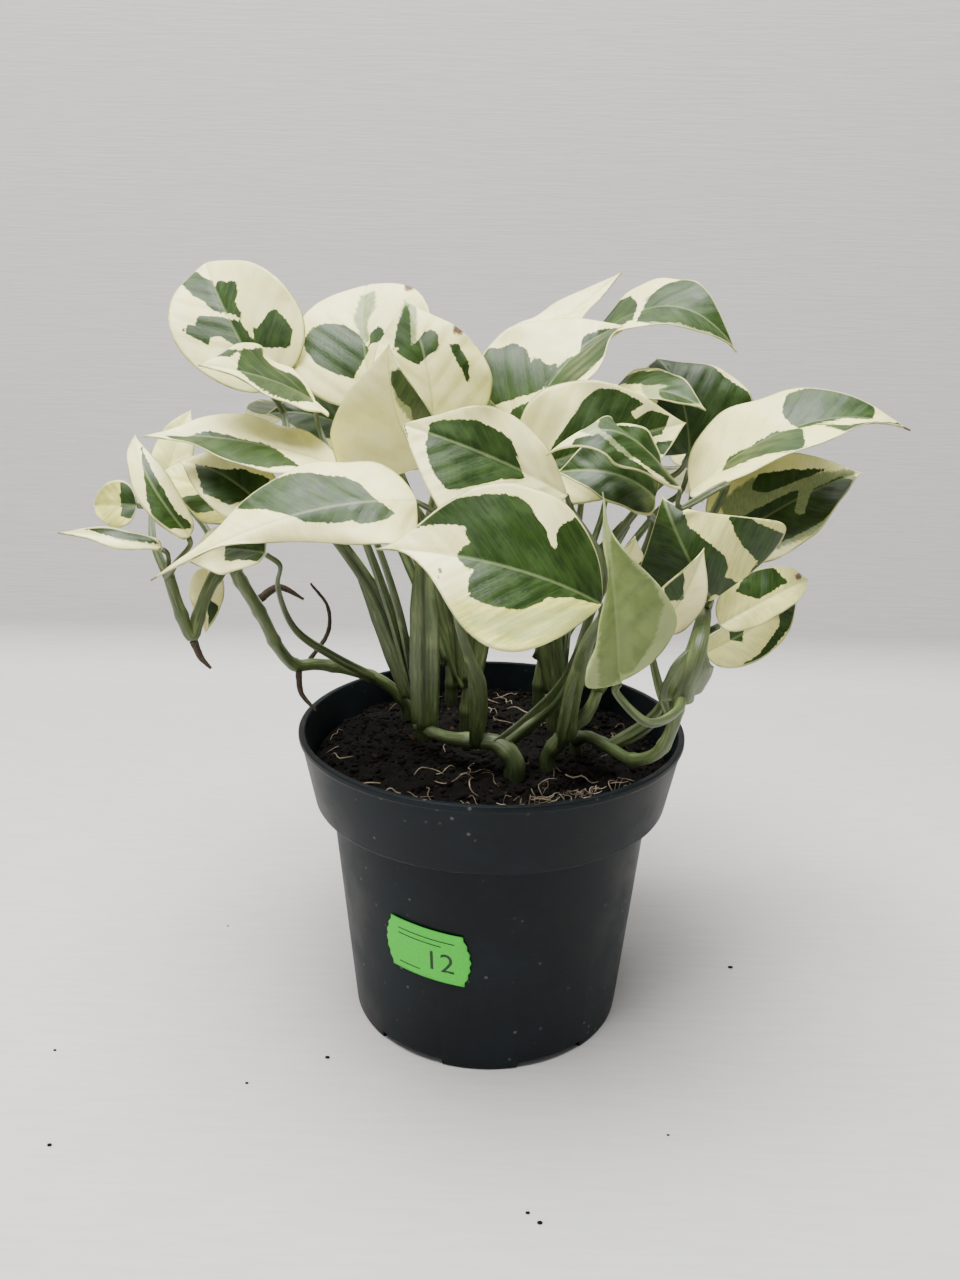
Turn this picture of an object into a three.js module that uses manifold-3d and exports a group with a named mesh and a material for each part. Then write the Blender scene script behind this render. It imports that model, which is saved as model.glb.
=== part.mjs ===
// Potted pothos with cream and green leaves, in a black nursery pot.
// Millimetres, +Z up. The origin is the middle of the pot's underside, and -Y is the front.
import * as THREE from "three";
import { mergeVertices } from "three/addons/utils/BufferGeometryUtils.js";
import Module from "manifold-3d";

// Pot: a 12 cm nursery pot with a tall plain collar
const POT_HEIGHT = 96;
const RIM_RADIUS = 60;
const BASE_RADIUS = 43.5;
const COLLAR_HEIGHT = 23;
const COLLAR_FOOT = POT_HEIGHT - COLLAR_HEIGHT;
const COLLAR_FOOT_RADIUS = 55.2;
const BODY_TOP_RADIUS = 50.3;
const WALL = 1.3;
const FLOOR = 2;
const POT_SIDES = 40;
const BASE_ROUNDING = 0.8;
const COLLAR_SLOPE = 2;
const COLLAR_ROUNDING = 1.4;
const LIP_HEIGHT = 2.2;
const LIP_ROUNDING = 0.7;
const DRAIN_COUNT = 6;
const DRAIN_SPAN = 30;
const DRAIN_TURN = -77;
const DRAIN_INNER_RADIUS = 34;
const DRAIN_HEIGHT = 2.3;
const CUT_THROUGH = 4;

// Soil: fills the pot to just under the rim, a little heaped
const SOIL_EDGE_HEIGHT = 87;
const SOIL_HEAP = 4;
const SOIL_SHOULDER = 3;
const SOIL_SLOPE = 22;
const SOIL_SIDES = 28;
const HOLE_CLEARANCE = 0.35;
const FIT_GAP = 0.35;

// Label: a small paper sticker on the pot's body, front left
const LABEL_WIDTH = 23;
const LABEL_BULGE = 2.2;
const LABEL_HEIGHT = 17.5;
const LABEL_THICKNESS = 0.3;
const LABEL_TURN = -21.6;
const LABEL_LEVEL = 41.2;
const LABEL_TILT = -5;
const LABEL_ROWS = 5;
const LABEL_COLUMNS = 9;

// Leaf blades
const BLADE_THICKNESS = 0.7;
const BLADE_SHARPNESS = 0.8;
const BLADE_STATIONS = [0.06, 0.14, 0.25, 0.38, 0.52, 0.66, 0.79, 0.91];
const BLADE_STEPS = [-1, -0.6, 0, 0.6, 1];
const SMALL_BLADE_WIDTH = 23;
const SMALL_BLADE_STATIONS = [0.08, 0.24, 0.46, 0.68, 0.88];
const NOD_START = 0.6;
const TWIST_CENTRE = 0.3;
const LOBE_PEAK = 6.75;
const LOBE_POWER = 1.5;
const HALVES_OUT_OF_STEP = 1.3;
const SHARE_STATIONS = [0.2, 0.5, 0.8];
const LEAST_SHARE = 0.1;

// Vines and leaf stalks
const VINE_SIDES = 7;
const VINE_TIP_RADIUS = 1.6;
const SLIM_VINE_RADIUS = 2.3;
const BURIED_LEVELS = [64, 78, 90, 94];
const STALK_SIDES = 5;
const STALK_RADIUS = 2.5;
const STALK_LEAST_RADIUS = 0.9;
const STALK_SPREAD = 30;
const STALK_TIP_RADIUS = 0.75;
const STALK_BACK = 0.4;
const STALK_UNDER = 0.55;
const STALK_APPROACH = 6;
const STALK_DIP = 0.8;
const ROOT_TIP_RADIUS = 0.4;
const ROOT_STEPS = 5;

const LEAF_DEFAULTS = {
  width: 36, arch: 6, skew: 0, nod: 0, sweep: 0, twist: 0, fold: 8, split: 0, cup: 0, wave: 1, turns: 1.5,
  phase: 0, lobe: 0.12, belly: 0.8, taper: 0.5, left: [1, 1, 1], right: [1, 1, 1],
};

// Each leaf: base and tip of its midrib, the way its upper face looks, and how it bends.
// arch: the midrib's rise over a straight line, skew: its crest's shift to the tip, nod: the tip's extra drop.
// sweep: the midrib's sideways bend, twist: degrees the blade turns from base to tip.
// fold: degrees each half rises from the midrib, split: what the left half has more and the right half less.
// cup: the margin's extra rise, wave, turns and phase: the margin's waves.
// lobe: how far the heart lobes reach back, belly: under 1 is broadest near the base, taper: a longer point.
// left, right: how wide each half is near the base, in the middle and near the tip, as a share of a plain one.
const LEAVES = [
  { name: "leaf_top_left", base: [-68, 8, 196], tip: [-91, 34, 232], face: [-0.2, -1, 0.5],
    width: 41, arch: 7, taper: 0.2, left: [0.55, 0.85, 1.2] },
  { name: "leaf_upper_left", base: [-52, -4, 194], tip: [-77, -32, 205], face: [0, -0.6, 0.8],
    width: 30, arch: 2 },
  { name: "leaf_high_left", base: [-36, 4, 192], tip: [-41, 30, 226], face: [-0.2, -1, 0.4],
    width: 44, arch: 7, belly: 1, taper: 0 },
  { name: "leaf_high_middle", base: [-18, -8, 186], tip: [-27, 2, 222], face: [0.4, -1, 0.2], width: 36 },
  { name: "leaf_pale_middle", base: [-19, -20, 179], tip: [-28, -34, 211], face: [-0.5, -1, 0],
    width: 43, fold: 22 },
  { name: "leaf_high_right", base: [8, -4.5, 188], tip: [36, 13, 216], face: [-0.6, -0.8, 0.5],
    width: 47, fold: 24, split: -8 },
  { name: "leaf_back_point", base: [2, 30, 207], tip: [38, 42, 232], face: [-0.2, -0.5, 0.8],
    width: 18, arch: -2 },
  { name: "leaf_top_right", base: [30, 36, 213], tip: [70, 14, 209], face: [0, -0.55, 0.85],
    width: 34, arch: 12, skew: 0.35, right: [1, 1.1, 1.3] },
  { name: "leaf_back_dark", base: [60, 24, 178], tip: [50, 40, 206], face: [0.3, -0.9, 0.4], width: 46 },
  { name: "leaf_folded_right", base: [31, 8, 194], tip: [58, -8, 194], face: [0, -0.4, 0.9],
    width: 26, arch: 5 },
  { name: "leaf_mid_right", base: [8, -26.5, 178.5], tip: [51, -19, 191.5], face: [0, -0.95, 0.3],
    width: 38, right: [0.7, 0.75, 0.9] },
  { name: "leaf_arched_right", base: [46, -46, 178], tip: [12, -49, 186], face: [0.1, -0.5, 0.85],
    width: 22, arch: 11, skew: 0.5, fold: -25, lobe: 0, belly: 1, left: [0.7, 0.7, 0.8] },
  { name: "leaf_dark_right", base: [41, -37, 174], tip: [15, -38, 180], face: [0, -0.75, 0.65],
    width: 32, left: [0.6, 0.6, 0.7] },
  { name: "leaf_droop_right", base: [57, -42, 148.3], tip: [43, -35.5, 174.5], face: [0.2, -0.95, 0.2],
    width: 44, fold: -20, split: -36, sweep: -3, lobe: 0.18, left: [0.7, 0.85, 0.9],
    right: [1.2, 1.1, 0.75] },
  { name: "leaf_low_right", base: [60, -40, 141], tip: [88, -20, 149], face: [-0.1, -0.9, 0.4],
    width: 18, right: [0.6, 0.6, 0.7] },
  { name: "leaf_far_right", base: [56, -6, 171], tip: [114, -12, 190], face: [-0.1, -0.5, 0.87],
    width: 38, arch: 12, skew: 0.2, fold: 15, split: -10, right: [1, 1.15, 1.4] },
  { name: "leaf_under_far_right", base: [63, -18, 157], tip: [105, -4, 177], face: [0, -0.75, 0.65],
    width: 34, fold: 12, right: [0.8, 0.75, 0.7] },
  { name: "leaf_small_right", base: [60, -24, 128], tip: [90, -4, 141], face: [0.1, -0.9, 0.2],
    width: 18, left: [0.6, 0.6, 0.8] },
  { name: "leaf_front", base: [26, -62, 152], tip: [-28, -68, 166], face: [0, -0.8, 0.6],
    width: 41, arch: 8, wave: 2, lobe: 0, belly: 0.95, taper: 0.8, left: [1, 1, 0.5], right: [1.3, 1, 1] },
  { name: "leaf_over_front", base: [18, -42, 175], tip: [-23, -52, 193], face: [0.1, -0.85, 0.5],
    width: 33, arch: 3, lobe: 0, belly: 1, taper: 0, left: [1.3, 1.5, 1.3], right: [0.7, 0.75, 0.6] },
  { name: "leaf_long_left", base: [-20, -48, 174], tip: [-87, -52, 153], face: [0, -0.65, 0.75],
    width: 38, arch: 8, skew: -0.2, fold: -12, belly: 0.75, taper: 1,
    left: [0.85, 0.4, 0.25], right: [1, 1, 0.8] },
  { name: "leaf_long_upper_left", base: [-44, -20, 178], tip: [-92, -34, 187], face: [0, -0.4, 0.92],
    width: 31, arch: 3, right: [0.8, 0.8, 0.8] },
  { name: "leaf_left_dark", base: [-61, -30, 167], tip: [-86, -24, 179], face: [0, -0.7, 0.7], width: 20 },
  { name: "leaf_left_crescent", base: [-81, -36, 161], tip: [-98, -22, 186], face: [0.6, -0.8, 0.3],
    width: 11, sweep: -5 },
  { name: "leaf_left_tiny", base: [-102, -14, 165], tip: [-116, -10, 164], face: [0, -0.9, 0.3],
    width: 14, arch: 2 },
  { name: "leaf_left_pale", base: [-96, -4, 172], tip: [-91, 8, 190], face: [0, -1, 0.3],
    width: 12, arch: 2 },
  { name: "leaf_far_left", base: [-90, -32, 157], tip: [-117, -34, 161], face: [0, -0.5, 0.8],
    width: 7, arch: 1 },
  { name: "leaf_left_yellow", base: [-74, -14, 164], tip: [-96, -20, 174], face: [0, -0.6, 0.8],
    width: 22, arch: 4 },
  { name: "leaf_left_low", base: [-62, -32, 156], tip: [-86, -26, 152], face: [0, -0.6, 0.8],
    width: 18, arch: 3 },
  { name: "leaf_left_hanging", base: [-83, -14, 147], tip: [-84, -16, 128], face: [0.3, -1, 0],
    width: 10, arch: 2 },
  { name: "leaf_behind_left", base: [-44, 22, 182], tip: [-71, 17, 188], face: [0, -0.6, 0.8],
    width: 26, arch: 4 },
  { name: "leaf_new", base: [30, -74, 136], tip: [24, -72, 181], face: [0.1, -1, 0],
    width: 24, arch: 3, fold: 14, taper: 1, left: [0.95, 0.25, 0.25], right: [0.7, 1.15, 0.35] },
  { name: "leaf_inner_right", base: [43, -46, 141], tip: [53, -46, 163], face: [0.3, -1, 0],
    width: 14, arch: 2 },
  { name: "leaf_inner_pale", base: [31.5, -48, 158], tip: [34.5, -53, 167], face: [0.3, -1, 0.1],
    width: 9, arch: 1 },
  { name: "leaf_back_left", base: [-50, 42, 180], tip: [-92, 70, 174], face: [-0.2, 0.4, 1],
    width: 38, arch: 8 },
  { name: "leaf_back_high_left", base: [-20, 48, 192], tip: [-38, 92, 190], face: [-0.1, 0.4, 1],
    width: 40, arch: 8 },
  { name: "leaf_back_middle", base: [8, 56, 186], tip: [12, 106, 174], face: [0, 0.5, 0.9],
    width: 42, arch: 8 },
  { name: "leaf_back_high_right", base: [32, 50, 190], tip: [62, 90, 184], face: [0.2, 0.4, 1],
    width: 38, arch: 8 },
  { name: "leaf_back_right", base: [62, 34, 172], tip: [104, 58, 168], face: [0.2, 0.3, 1],
    width: 36, arch: 7 },
  { name: "leaf_back_low_left", base: [-34, 52, 166], tip: [-62, 92, 150], face: [-0.4, 0.8, 0.7],
    width: 36 },
  { name: "leaf_back_low_right", base: [40, 54, 164], tip: [78, 86, 152], face: [0.5, 0.7, 0.7],
    width: 36 },
  { name: "leaf_back_low", base: [2, 54, 160], tip: [-14, 98, 146], face: [0, 0.8, 0.7], width: 38 },
];

// Each vine: where it stands in the soil, its radius there, its way on from there, and the stalks it carries.
// A stalk starts at a point on its vine and ends at its leaf's base. A broad stalk has its own radius.
const VINES = [
  { name: "vine_front", hole: [7, -27], radius: 4.5,
    path: [[2, -25, 99], [-6, -23, 99], [-14, -18, 98], [-23, -12, 99]],
    stalks: [
      { leaf: "leaf_long_left", from: [-4, -24, 99], via: [[-4, -30, 117], [-9, -36, 138]] },
      { leaf: "leaf_pale_middle", from: [-20, -14, 99], via: [[-20, -16, 128], [-20, -15, 155]] },
      { leaf: "leaf_over_front", from: [2, -25, 98],
        via: [[9, -22, 103], [20, -17, 112], [27, -24, 138], [28, -47, 158]] },
    ] },
  { name: "vine_right_front", hole: [17, -22], radius: 2.4,
    path: [[22, -24, 103], [28, -23, 109], [31, -21, 116]],
    stalks: [
      { leaf: "leaf_front", radius: 3.6, from: [22, -24, 103], via: [[23, -36, 122], [25, -50, 140]] },
      { leaf: "leaf_dark_right", from: [31, -21, 115], via: [[37, -20, 140], [43, -24, 165]] },
      { leaf: "leaf_inner_pale", from: [31, -21, 114], via: [[33, -28, 140]] },
      { leaf: "leaf_arched_right", from: [31, -21, 115],
        via: [[43, -21, 138], [56, -24, 162], [60, -32, 176], [56, -43, 178]] },
    ] },
  { name: "vine_right_small", hole: [26, -10], radius: 1.8,
    path: [[29, -18, 99], [34, -25, 99], [40, -34, 99], [46, -40, 104], [49, -44, 114], [50, -46, 124]],
    stalks: [
      { leaf: "leaf_small_right", from: [34, -25, 99], via: [[43, -26, 104], [52, -27, 116]] },
      { leaf: "leaf_low_right", from: [34, -25, 99], via: [[46, -28, 110], [53, -33, 128]] },
      { leaf: "leaf_droop_right", radius: 4.2, from: [50, -46, 123], via: [[53, -48, 136]] },
      { leaf: "leaf_new", from: [50, -46, 123], via: [[47, -58, 123], [38, -68, 124]] },
      { leaf: "leaf_inner_right", from: [49, -44, 114], via: [[44, -44, 126]] },
    ] },
  { name: "vine_left_long", hole: [-28, 16], radius: 1.9,
    path: [[-35, 14, 103], [-46, 12, 108], [-56, 8, 111], [-62, 4, 112], [-66, -1, 119], [-69, -8, 131],
      [-73, -16, 144], [-75, -20, 150], [-79, -22, 146], [-83, -24, 137], [-85, -26, 130], [-88, -27, 139],
      [-90, -28, 149]],
    stalks: [
      { leaf: "leaf_left_low", from: [-38, 13, 105], via: [[-50, 2, 116], [-59, -8, 127], [-61, -22, 144]] },
      { leaf: "leaf_left_dark", from: [-74, -18, 147], via: [[-67, -24, 157]] },
      { leaf: "leaf_left_yellow", from: [-74, -17, 146], via: [[-72, -13, 155]] },
      { leaf: "leaf_left_pale", from: [-75.5, -20.4, 149.5], via: [[-86, -8, 160]] },
      { leaf: "leaf_left_hanging", from: [-74, -18, 147], via: [[-76, -12, 150]] },
      { leaf: "leaf_left_crescent", from: [-90, -28, 148], via: [[-85, -35, 154]] },
      { leaf: "leaf_far_left", from: [-90, -28, 148], via: [] },
      { leaf: "leaf_left_tiny", from: [-89, -27, 144], via: [[-96, -20, 156]] },
    ] },
  { name: "vine_left_middle", hole: [-22, -2], radius: 2.2,
    path: [[-22, -2, 100], [-24, -2, 107]],
    stalks: [
      { leaf: "leaf_top_left", from: [-24, -2, 105], via: [[-36, -4, 138], [-57, -8, 172]] },
      { leaf: "leaf_upper_left", from: [-24, -2, 104], via: [[-32, -8, 138], [-44, -10, 172]] },
      { leaf: "leaf_long_upper_left", from: [-23, -2, 102], via: [[-28, -12, 136], [-35, -17, 160]] },
    ] },
  { name: "vine_middle", hole: [-8, 4], radius: 2.2,
    path: [[-8, 4, 100], [-7, 4, 110]],
    stalks: [
      { leaf: "leaf_high_left", from: [-8, 4, 108], via: [[-16, 6, 140], [-28, 6, 170]] },
      { leaf: "leaf_high_middle", from: [-7, 4, 107], via: [[-10, 2, 140], [-15, 2, 168]] },
      { leaf: "leaf_high_right", from: [-7, 4, 109], via: [[-2, 2, 140], [3, 0, 170]] },
      { leaf: "leaf_back_point", from: [-7, 4, 109], via: [[-5, 14, 145], [-3, 26, 185]] },
      { leaf: "leaf_behind_left", from: [-8, 4, 106], via: [[-22, 10, 140], [-36, 14, 168]] },
    ] },
  { name: "vine_right_middle", hole: [20, 8], radius: 2.2,
    path: [[20, 8, 100], [22, 8, 108]],
    stalks: [
      { leaf: "leaf_top_right", from: [22, 8, 106], via: [[22, 16, 145], [24, 28, 188]] },
      { leaf: "leaf_mid_right", from: [21, 8, 103], via: [[14, 2, 138], [6, -10, 164]] },
      { leaf: "leaf_folded_right", from: [22, 8, 106], via: [[24, 8, 140], [27, 10, 174]] },
      { leaf: "leaf_far_right", from: [22, 8, 105], via: [[36, 4, 128], [49, -2, 152]] },
      { leaf: "leaf_under_far_right", from: [22, 8, 104], via: [[38, 0, 122], [52, -8, 142]] },
    ] },
  { name: "vine_back_right", hole: [16, 30], radius: 2.2,
    path: [[16, 30, 100], [17, 31, 108]],
    stalks: [
      { leaf: "leaf_back_dark", from: [17, 31, 106], via: [[34, 32, 140], [52, 32, 166]] },
      { leaf: "leaf_back_high_right", from: [17, 31, 106], via: [[22, 38, 145], [28, 44, 174]] },
      { leaf: "leaf_back_right", from: [17, 31, 105], via: [[36, 36, 132], [54, 36, 158]] },
      { leaf: "leaf_back_low_right", from: [17, 31, 104], via: [[28, 42, 130], [36, 48, 152]] },
    ] },
  { name: "vine_back_left", hole: [-14, 30], radius: 2.2,
    path: [[-14, 30, 100], [-15, 31, 108]],
    stalks: [
      { leaf: "leaf_back_left", from: [-15, 31, 106], via: [[-30, 36, 140], [-44, 40, 166]] },
      { leaf: "leaf_back_high_left", from: [-15, 31, 106], via: [[-17, 38, 145], [-18, 42, 176]] },
      { leaf: "leaf_back_middle", from: [-15, 31, 106], via: [[-6, 42, 140], [4, 50, 168]] },
      { leaf: "leaf_back_low_left", from: [-15, 31, 104], via: [[-24, 40, 130], [-31, 47, 152]] },
      { leaf: "leaf_back_low", from: [-15, 31, 104], via: [[-8, 40, 124], [-1, 48, 146]] },
    ] },
];

// Brown air roots at the vines' nodes
const ROOTS = [
  { name: "root_rim_left", radius: 1.1, path: [[-61, 3.4, 110], [-60, 1, 104], [-55, -2, 99]] },
  { name: "root_hanging", radius: 1.2, path: [[-84.8, -26, 128.9], [-83, -26, 124], [-80, -27, 121]] },
  { name: "root_stub", radius: 1.3, path: [[-69.2, -9.2, 137], [-64, -7, 140], [-57, -5, 136]] },
  { name: "root_long", radius: 0.8, path: [[-58.5, 9.8, 112], [-53, 12, 120], [-52, 8, 130], [-56, 2, 139]] },
];

const POT_FINISH = { colour: 0x242b2d, roughness: 0.45 };
const SOIL_FINISH = { colour: 0x1c1815, roughness: 0.95 };
const LABEL_FINISH = { colour: 0x5fc84b, roughness: 0.6 };
const LEAF_FINISH = { colour: 0xa9b58c, roughness: 0.4 };
const VINE_FINISH = { colour: 0x6e8255, roughness: 0.45 };
const ROOT_FINISH = { colour: 0x3c302a, roughness: 0.8 };

const wasm = await Module();
wasm.setup();

const degrees = (angle) => (angle * Math.PI) / 180;

// A closed triangle mesh from a list of points and a list of corner triples
function closedMesh(points, triangles) {
  const geometry = new THREE.BufferGeometry();
  const numbers = points.flatMap((p) => [p.x, p.y, p.z]);
  geometry.setAttribute("position", new THREE.Float32BufferAttribute(numbers, 3));
  geometry.setIndex(triangles.flat());
  return geometry;
}

// Two faces, alike in their triangles, with a rim between them: front and back hold the same number of points
function slab(front, back, faces, rim) {
  const shift = front.length;
  const triangles = [];
  for (const [a, b, c] of faces) {
    triangles.push([a, b, c]);
    triangles.push([a + shift, c + shift, b + shift]);
  }
  for (let i = 0; i < rim.length; i += 1) {
    const a = rim[i];
    const b = rim[(i + 1) % rim.length];
    triangles.push([b, a, a + shift]);
    triangles.push([b, a + shift, b + shift]);
  }
  return closedMesh([...front, ...back], triangles);
}

// The midrib and the blade's own directions at a share x of the way from base to tip
function midribFrame(leaf, x) {
  const base = new THREE.Vector3(...leaf.base);
  const run = new THREE.Vector3(...leaf.tip).sub(base);
  const along = run.clone().normalize();
  const up = new THREE.Vector3(...leaf.face);
  up.addScaledVector(along, -up.dot(along)).normalize();
  const side = along.clone().cross(up);
  const place = (t) => {
    const hump = 4 * t * (1 - t) * (1 + leaf.skew * (2 * t - 1));
    const drop = (Math.max(t - NOD_START, 0) / (1 - NOD_START)) ** 2;
    return base
      .clone()
      .addScaledVector(run, t)
      .addScaledVector(up, leaf.arch * hump - leaf.nod * drop)
      .addScaledVector(side, leaf.sweep * 4 * t * (1 - t));
  };
  const step = 0.01;
  const tangent = place(x + step).sub(place(x - step)).normalize();
  const normal = up.clone().addScaledVector(tangent, -up.dot(tangent)).normalize();
  normal.applyAxisAngle(tangent, degrees(leaf.twist * (x - TWIST_CENTRE)));
  return { origin: place(x), tangent, normal, side: tangent.clone().cross(normal) };
}

// A smooth run through the three shares of one half of a blade
function halfShare(shares, u) {
  let share = 0;
  SHARE_STATIONS.forEach((station, i) => {
    let weight = shares[i];
    SHARE_STATIONS.forEach((other, j) => {
      weight *= i === j ? 1 : (u - other) / (station - other);
    });
    share += weight;
  });
  return Math.max(share, LEAST_SHARE);
}

// A point of the blade's middle surface: u runs from base to tip, v from margin to margin
function bladePoint(leaf, u, v) {
  const reach = Math.abs(v);
  const outline = Math.sin(Math.PI * Math.min(u, 1) ** leaf.belly) ** (BLADE_SHARPNESS + leaf.taper * u);
  const backward = leaf.lobe * LOBE_PEAK * u * (1 - u) ** 2 * reach ** LOBE_POWER;
  const { origin, normal, side } = midribFrame(leaf, u - backward);
  const across = (leaf.width / 2) * outline * v * halfShare(v < 0 ? leaf.left : leaf.right, u);
  const fold = degrees(leaf.fold + (v < 0 ? leaf.split : -leaf.split));
  const late = v > 0 ? HALVES_OUT_OF_STEP : 0;
  const ripple = Math.sin(2 * Math.PI * leaf.turns * u + leaf.phase + late);
  const edge = (leaf.cup + leaf.wave * ripple) * outline;
  const lift = Math.abs(across) * Math.sin(fold) + edge * reach ** 2;
  return origin.addScaledVector(side, across * Math.cos(fold)).addScaledVector(normal, lift);
}

function bladeNormal(leaf, u, v) {
  const step = 0.02;
  const a = Math.min(Math.max(u, 0.05), 0.95);
  const b = Math.min(Math.max(v, -1 + step), 1 - step);
  const alongU = bladePoint(leaf, a + step, b).sub(bladePoint(leaf, a - step, b));
  const alongV = bladePoint(leaf, a, b + step).sub(bladePoint(leaf, a, b - step));
  return alongU.cross(alongV).normalize();
}

function blade(leaf) {
  const stations = leaf.width < SMALL_BLADE_WIDTH ? SMALL_BLADE_STATIONS : BLADE_STATIONS;
  const middle = [bladePoint(leaf, 0, 0)];
  const normals = [bladeNormal(leaf, 0, 0)];
  for (const u of stations) {
    for (const v of BLADE_STEPS) {
      middle.push(bladePoint(leaf, u, v));
      normals.push(bladeNormal(leaf, u, v));
    }
  }
  middle.push(bladePoint(leaf, 1, 0));
  normals.push(bladeNormal(leaf, 1, 0));

  const columns = BLADE_STEPS.length;
  const rows = stations.length;
  const tip = middle.length - 1;
  const at = (row, column) => 1 + row * columns + column;
  const faces = [];
  for (let c = 0; c < columns - 1; c += 1) {
    faces.push([0, at(0, c), at(0, c + 1)]);
    faces.push([tip, at(rows - 1, c + 1), at(rows - 1, c)]);
    for (let r = 0; r < rows - 1; r += 1) {
      faces.push([at(r, c), at(r + 1, c), at(r, c + 1)]);
      faces.push([at(r, c + 1), at(r + 1, c), at(r + 1, c + 1)]);
    }
  }
  const rim = [0];
  for (let r = 0; r < rows; r += 1) {
    rim.push(at(r, 0));
  }
  rim.push(tip);
  for (let r = rows - 1; r >= 0; r -= 1) {
    rim.push(at(r, columns - 1));
  }
  const offset = (by) => middle.map((p, i) => p.clone().addScaledVector(normals[i], by));
  return slab(offset(BLADE_THICKNESS / 2), offset(-BLADE_THICKNESS / 2), faces, rim);
}

// A tube with closed ends through a list of points; its radius runs through the radii in even steps
function tube(points, radii, sides, steps) {
  const curve = new THREE.CatmullRomCurve3(points.map((p) => new THREE.Vector3(...p)), false, "centripetal");
  const rings = [];
  let across = new THREE.Vector3(1, 1, 0);
  for (let i = 0; i <= steps; i += 1) {
    const share = i / steps;
    const centre = curve.getPointAt(share);
    const along = curve.getTangentAt(share);
    across = across.clone().addScaledVector(along, -across.dot(along)).normalize();
    const over = along.clone().cross(across);
    const place = share * (radii.length - 1);
    const low = Math.min(Math.floor(place), radii.length - 2);
    const radius = THREE.MathUtils.lerp(radii[low], radii[low + 1], place - low);
    for (let k = 0; k < sides; k += 1) {
      const turn = (2 * Math.PI * k) / sides;
      rings.push(
        centre
          .clone()
          .addScaledVector(across, radius * Math.cos(turn))
          .addScaledVector(over, radius * Math.sin(turn)),
      );
    }
  }
  const triangles = [];
  const last = steps * sides;
  for (let k = 0; k < sides; k += 1) {
    const next = (k + 1) % sides;
    for (let i = 0; i < last; i += sides) {
      triangles.push([i + k, i + next, i + sides + next]);
      triangles.push([i + k, i + sides + next, i + sides + k]);
    }
    if (k > 0 && k < sides - 1) {
      triangles.push([0, k + 1, k]);
      triangles.push([last, last + k, last + k + 1]);
    }
  }
  return closedMesh(rings, triangles);
}

// Solids for cutting and joining
function solid(geometry) {
  const bare = geometry.clone();
  bare.deleteAttribute("normal");
  bare.deleteAttribute("uv");
  const merged = mergeVertices(bare, 1e-4);
  return new wasm.Manifold(
    new wasm.Mesh({
      numProp: 3,
      vertProperties: new Float32Array(merged.attributes.position.array),
      triVerts: new Uint32Array(merged.index.array),
    }),
  );
}

function fromSolid(body) {
  const mesh = body.getMesh();
  const geometry = new THREE.BufferGeometry();
  geometry.setAttribute("position", new THREE.Float32BufferAttribute(mesh.vertProperties, 3));
  geometry.setIndex(Array.from(mesh.triVerts));
  return geometry;
}

// The pot's outer wall under the collar, at a height
function bodyRadius(z) {
  return BASE_RADIUS + ((BODY_TOP_RADIUS - BASE_RADIUS) * z) / COLLAR_FOOT;
}

function lathe(outline, sides) {
  const geometry = new THREE.LatheGeometry(outline.map(([r, z]) => new THREE.Vector2(r, z)), sides);
  geometry.rotateX(Math.PI / 2);
  return geometry;
}

// The pot: a turned wall and floor, with drain slots cut through the floor's edge
function pot() {
  const wall = lathe(
    [
      [0, 0],
      [BASE_RADIUS - BASE_ROUNDING, 0],
      [BASE_RADIUS, BASE_ROUNDING],
      [bodyRadius(COLLAR_FOOT - COLLAR_SLOPE), COLLAR_FOOT - COLLAR_SLOPE],
      [BODY_TOP_RADIUS + 1, COLLAR_FOOT - COLLAR_SLOPE / 3],
      [COLLAR_FOOT_RADIUS - 1, COLLAR_FOOT],
      [COLLAR_FOOT_RADIUS, COLLAR_FOOT + COLLAR_ROUNDING],
      [RIM_RADIUS - LIP_ROUNDING, POT_HEIGHT - LIP_HEIGHT],
      [RIM_RADIUS, POT_HEIGHT - LIP_HEIGHT + LIP_ROUNDING],
      [RIM_RADIUS - LIP_ROUNDING / 2, POT_HEIGHT],
      [RIM_RADIUS - WALL - LIP_ROUNDING / 2, POT_HEIGHT],
      [COLLAR_FOOT_RADIUS - WALL, COLLAR_FOOT + COLLAR_SLOPE],
      [BODY_TOP_RADIUS - WALL, COLLAR_FOOT],
      [BASE_RADIUS - WALL, FLOOR],
      [0, FLOOR],
    ],
    POT_SIDES,
  );
  let body = solid(wall);
  const slot = new THREE.Shape();
  slot.absarc(0, 0, BASE_RADIUS + CUT_THROUGH, 0, degrees(DRAIN_SPAN), false);
  slot.absarc(0, 0, DRAIN_INNER_RADIUS, degrees(DRAIN_SPAN), 0, true);
  const depth = DRAIN_HEIGHT + CUT_THROUGH;
  const cutter = new THREE.ExtrudeGeometry(slot, { depth, bevelEnabled: false, curveSegments: 4 });
  cutter.translate(0, 0, -CUT_THROUGH);
  for (let i = 0; i < DRAIN_COUNT; i += 1) {
    const turned = cutter.clone().rotateZ(degrees(DRAIN_TURN) + (2 * Math.PI * i) / DRAIN_COUNT);
    body = body.subtract(solid(turned));
  }
  return fromSolid(body);
}

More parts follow.
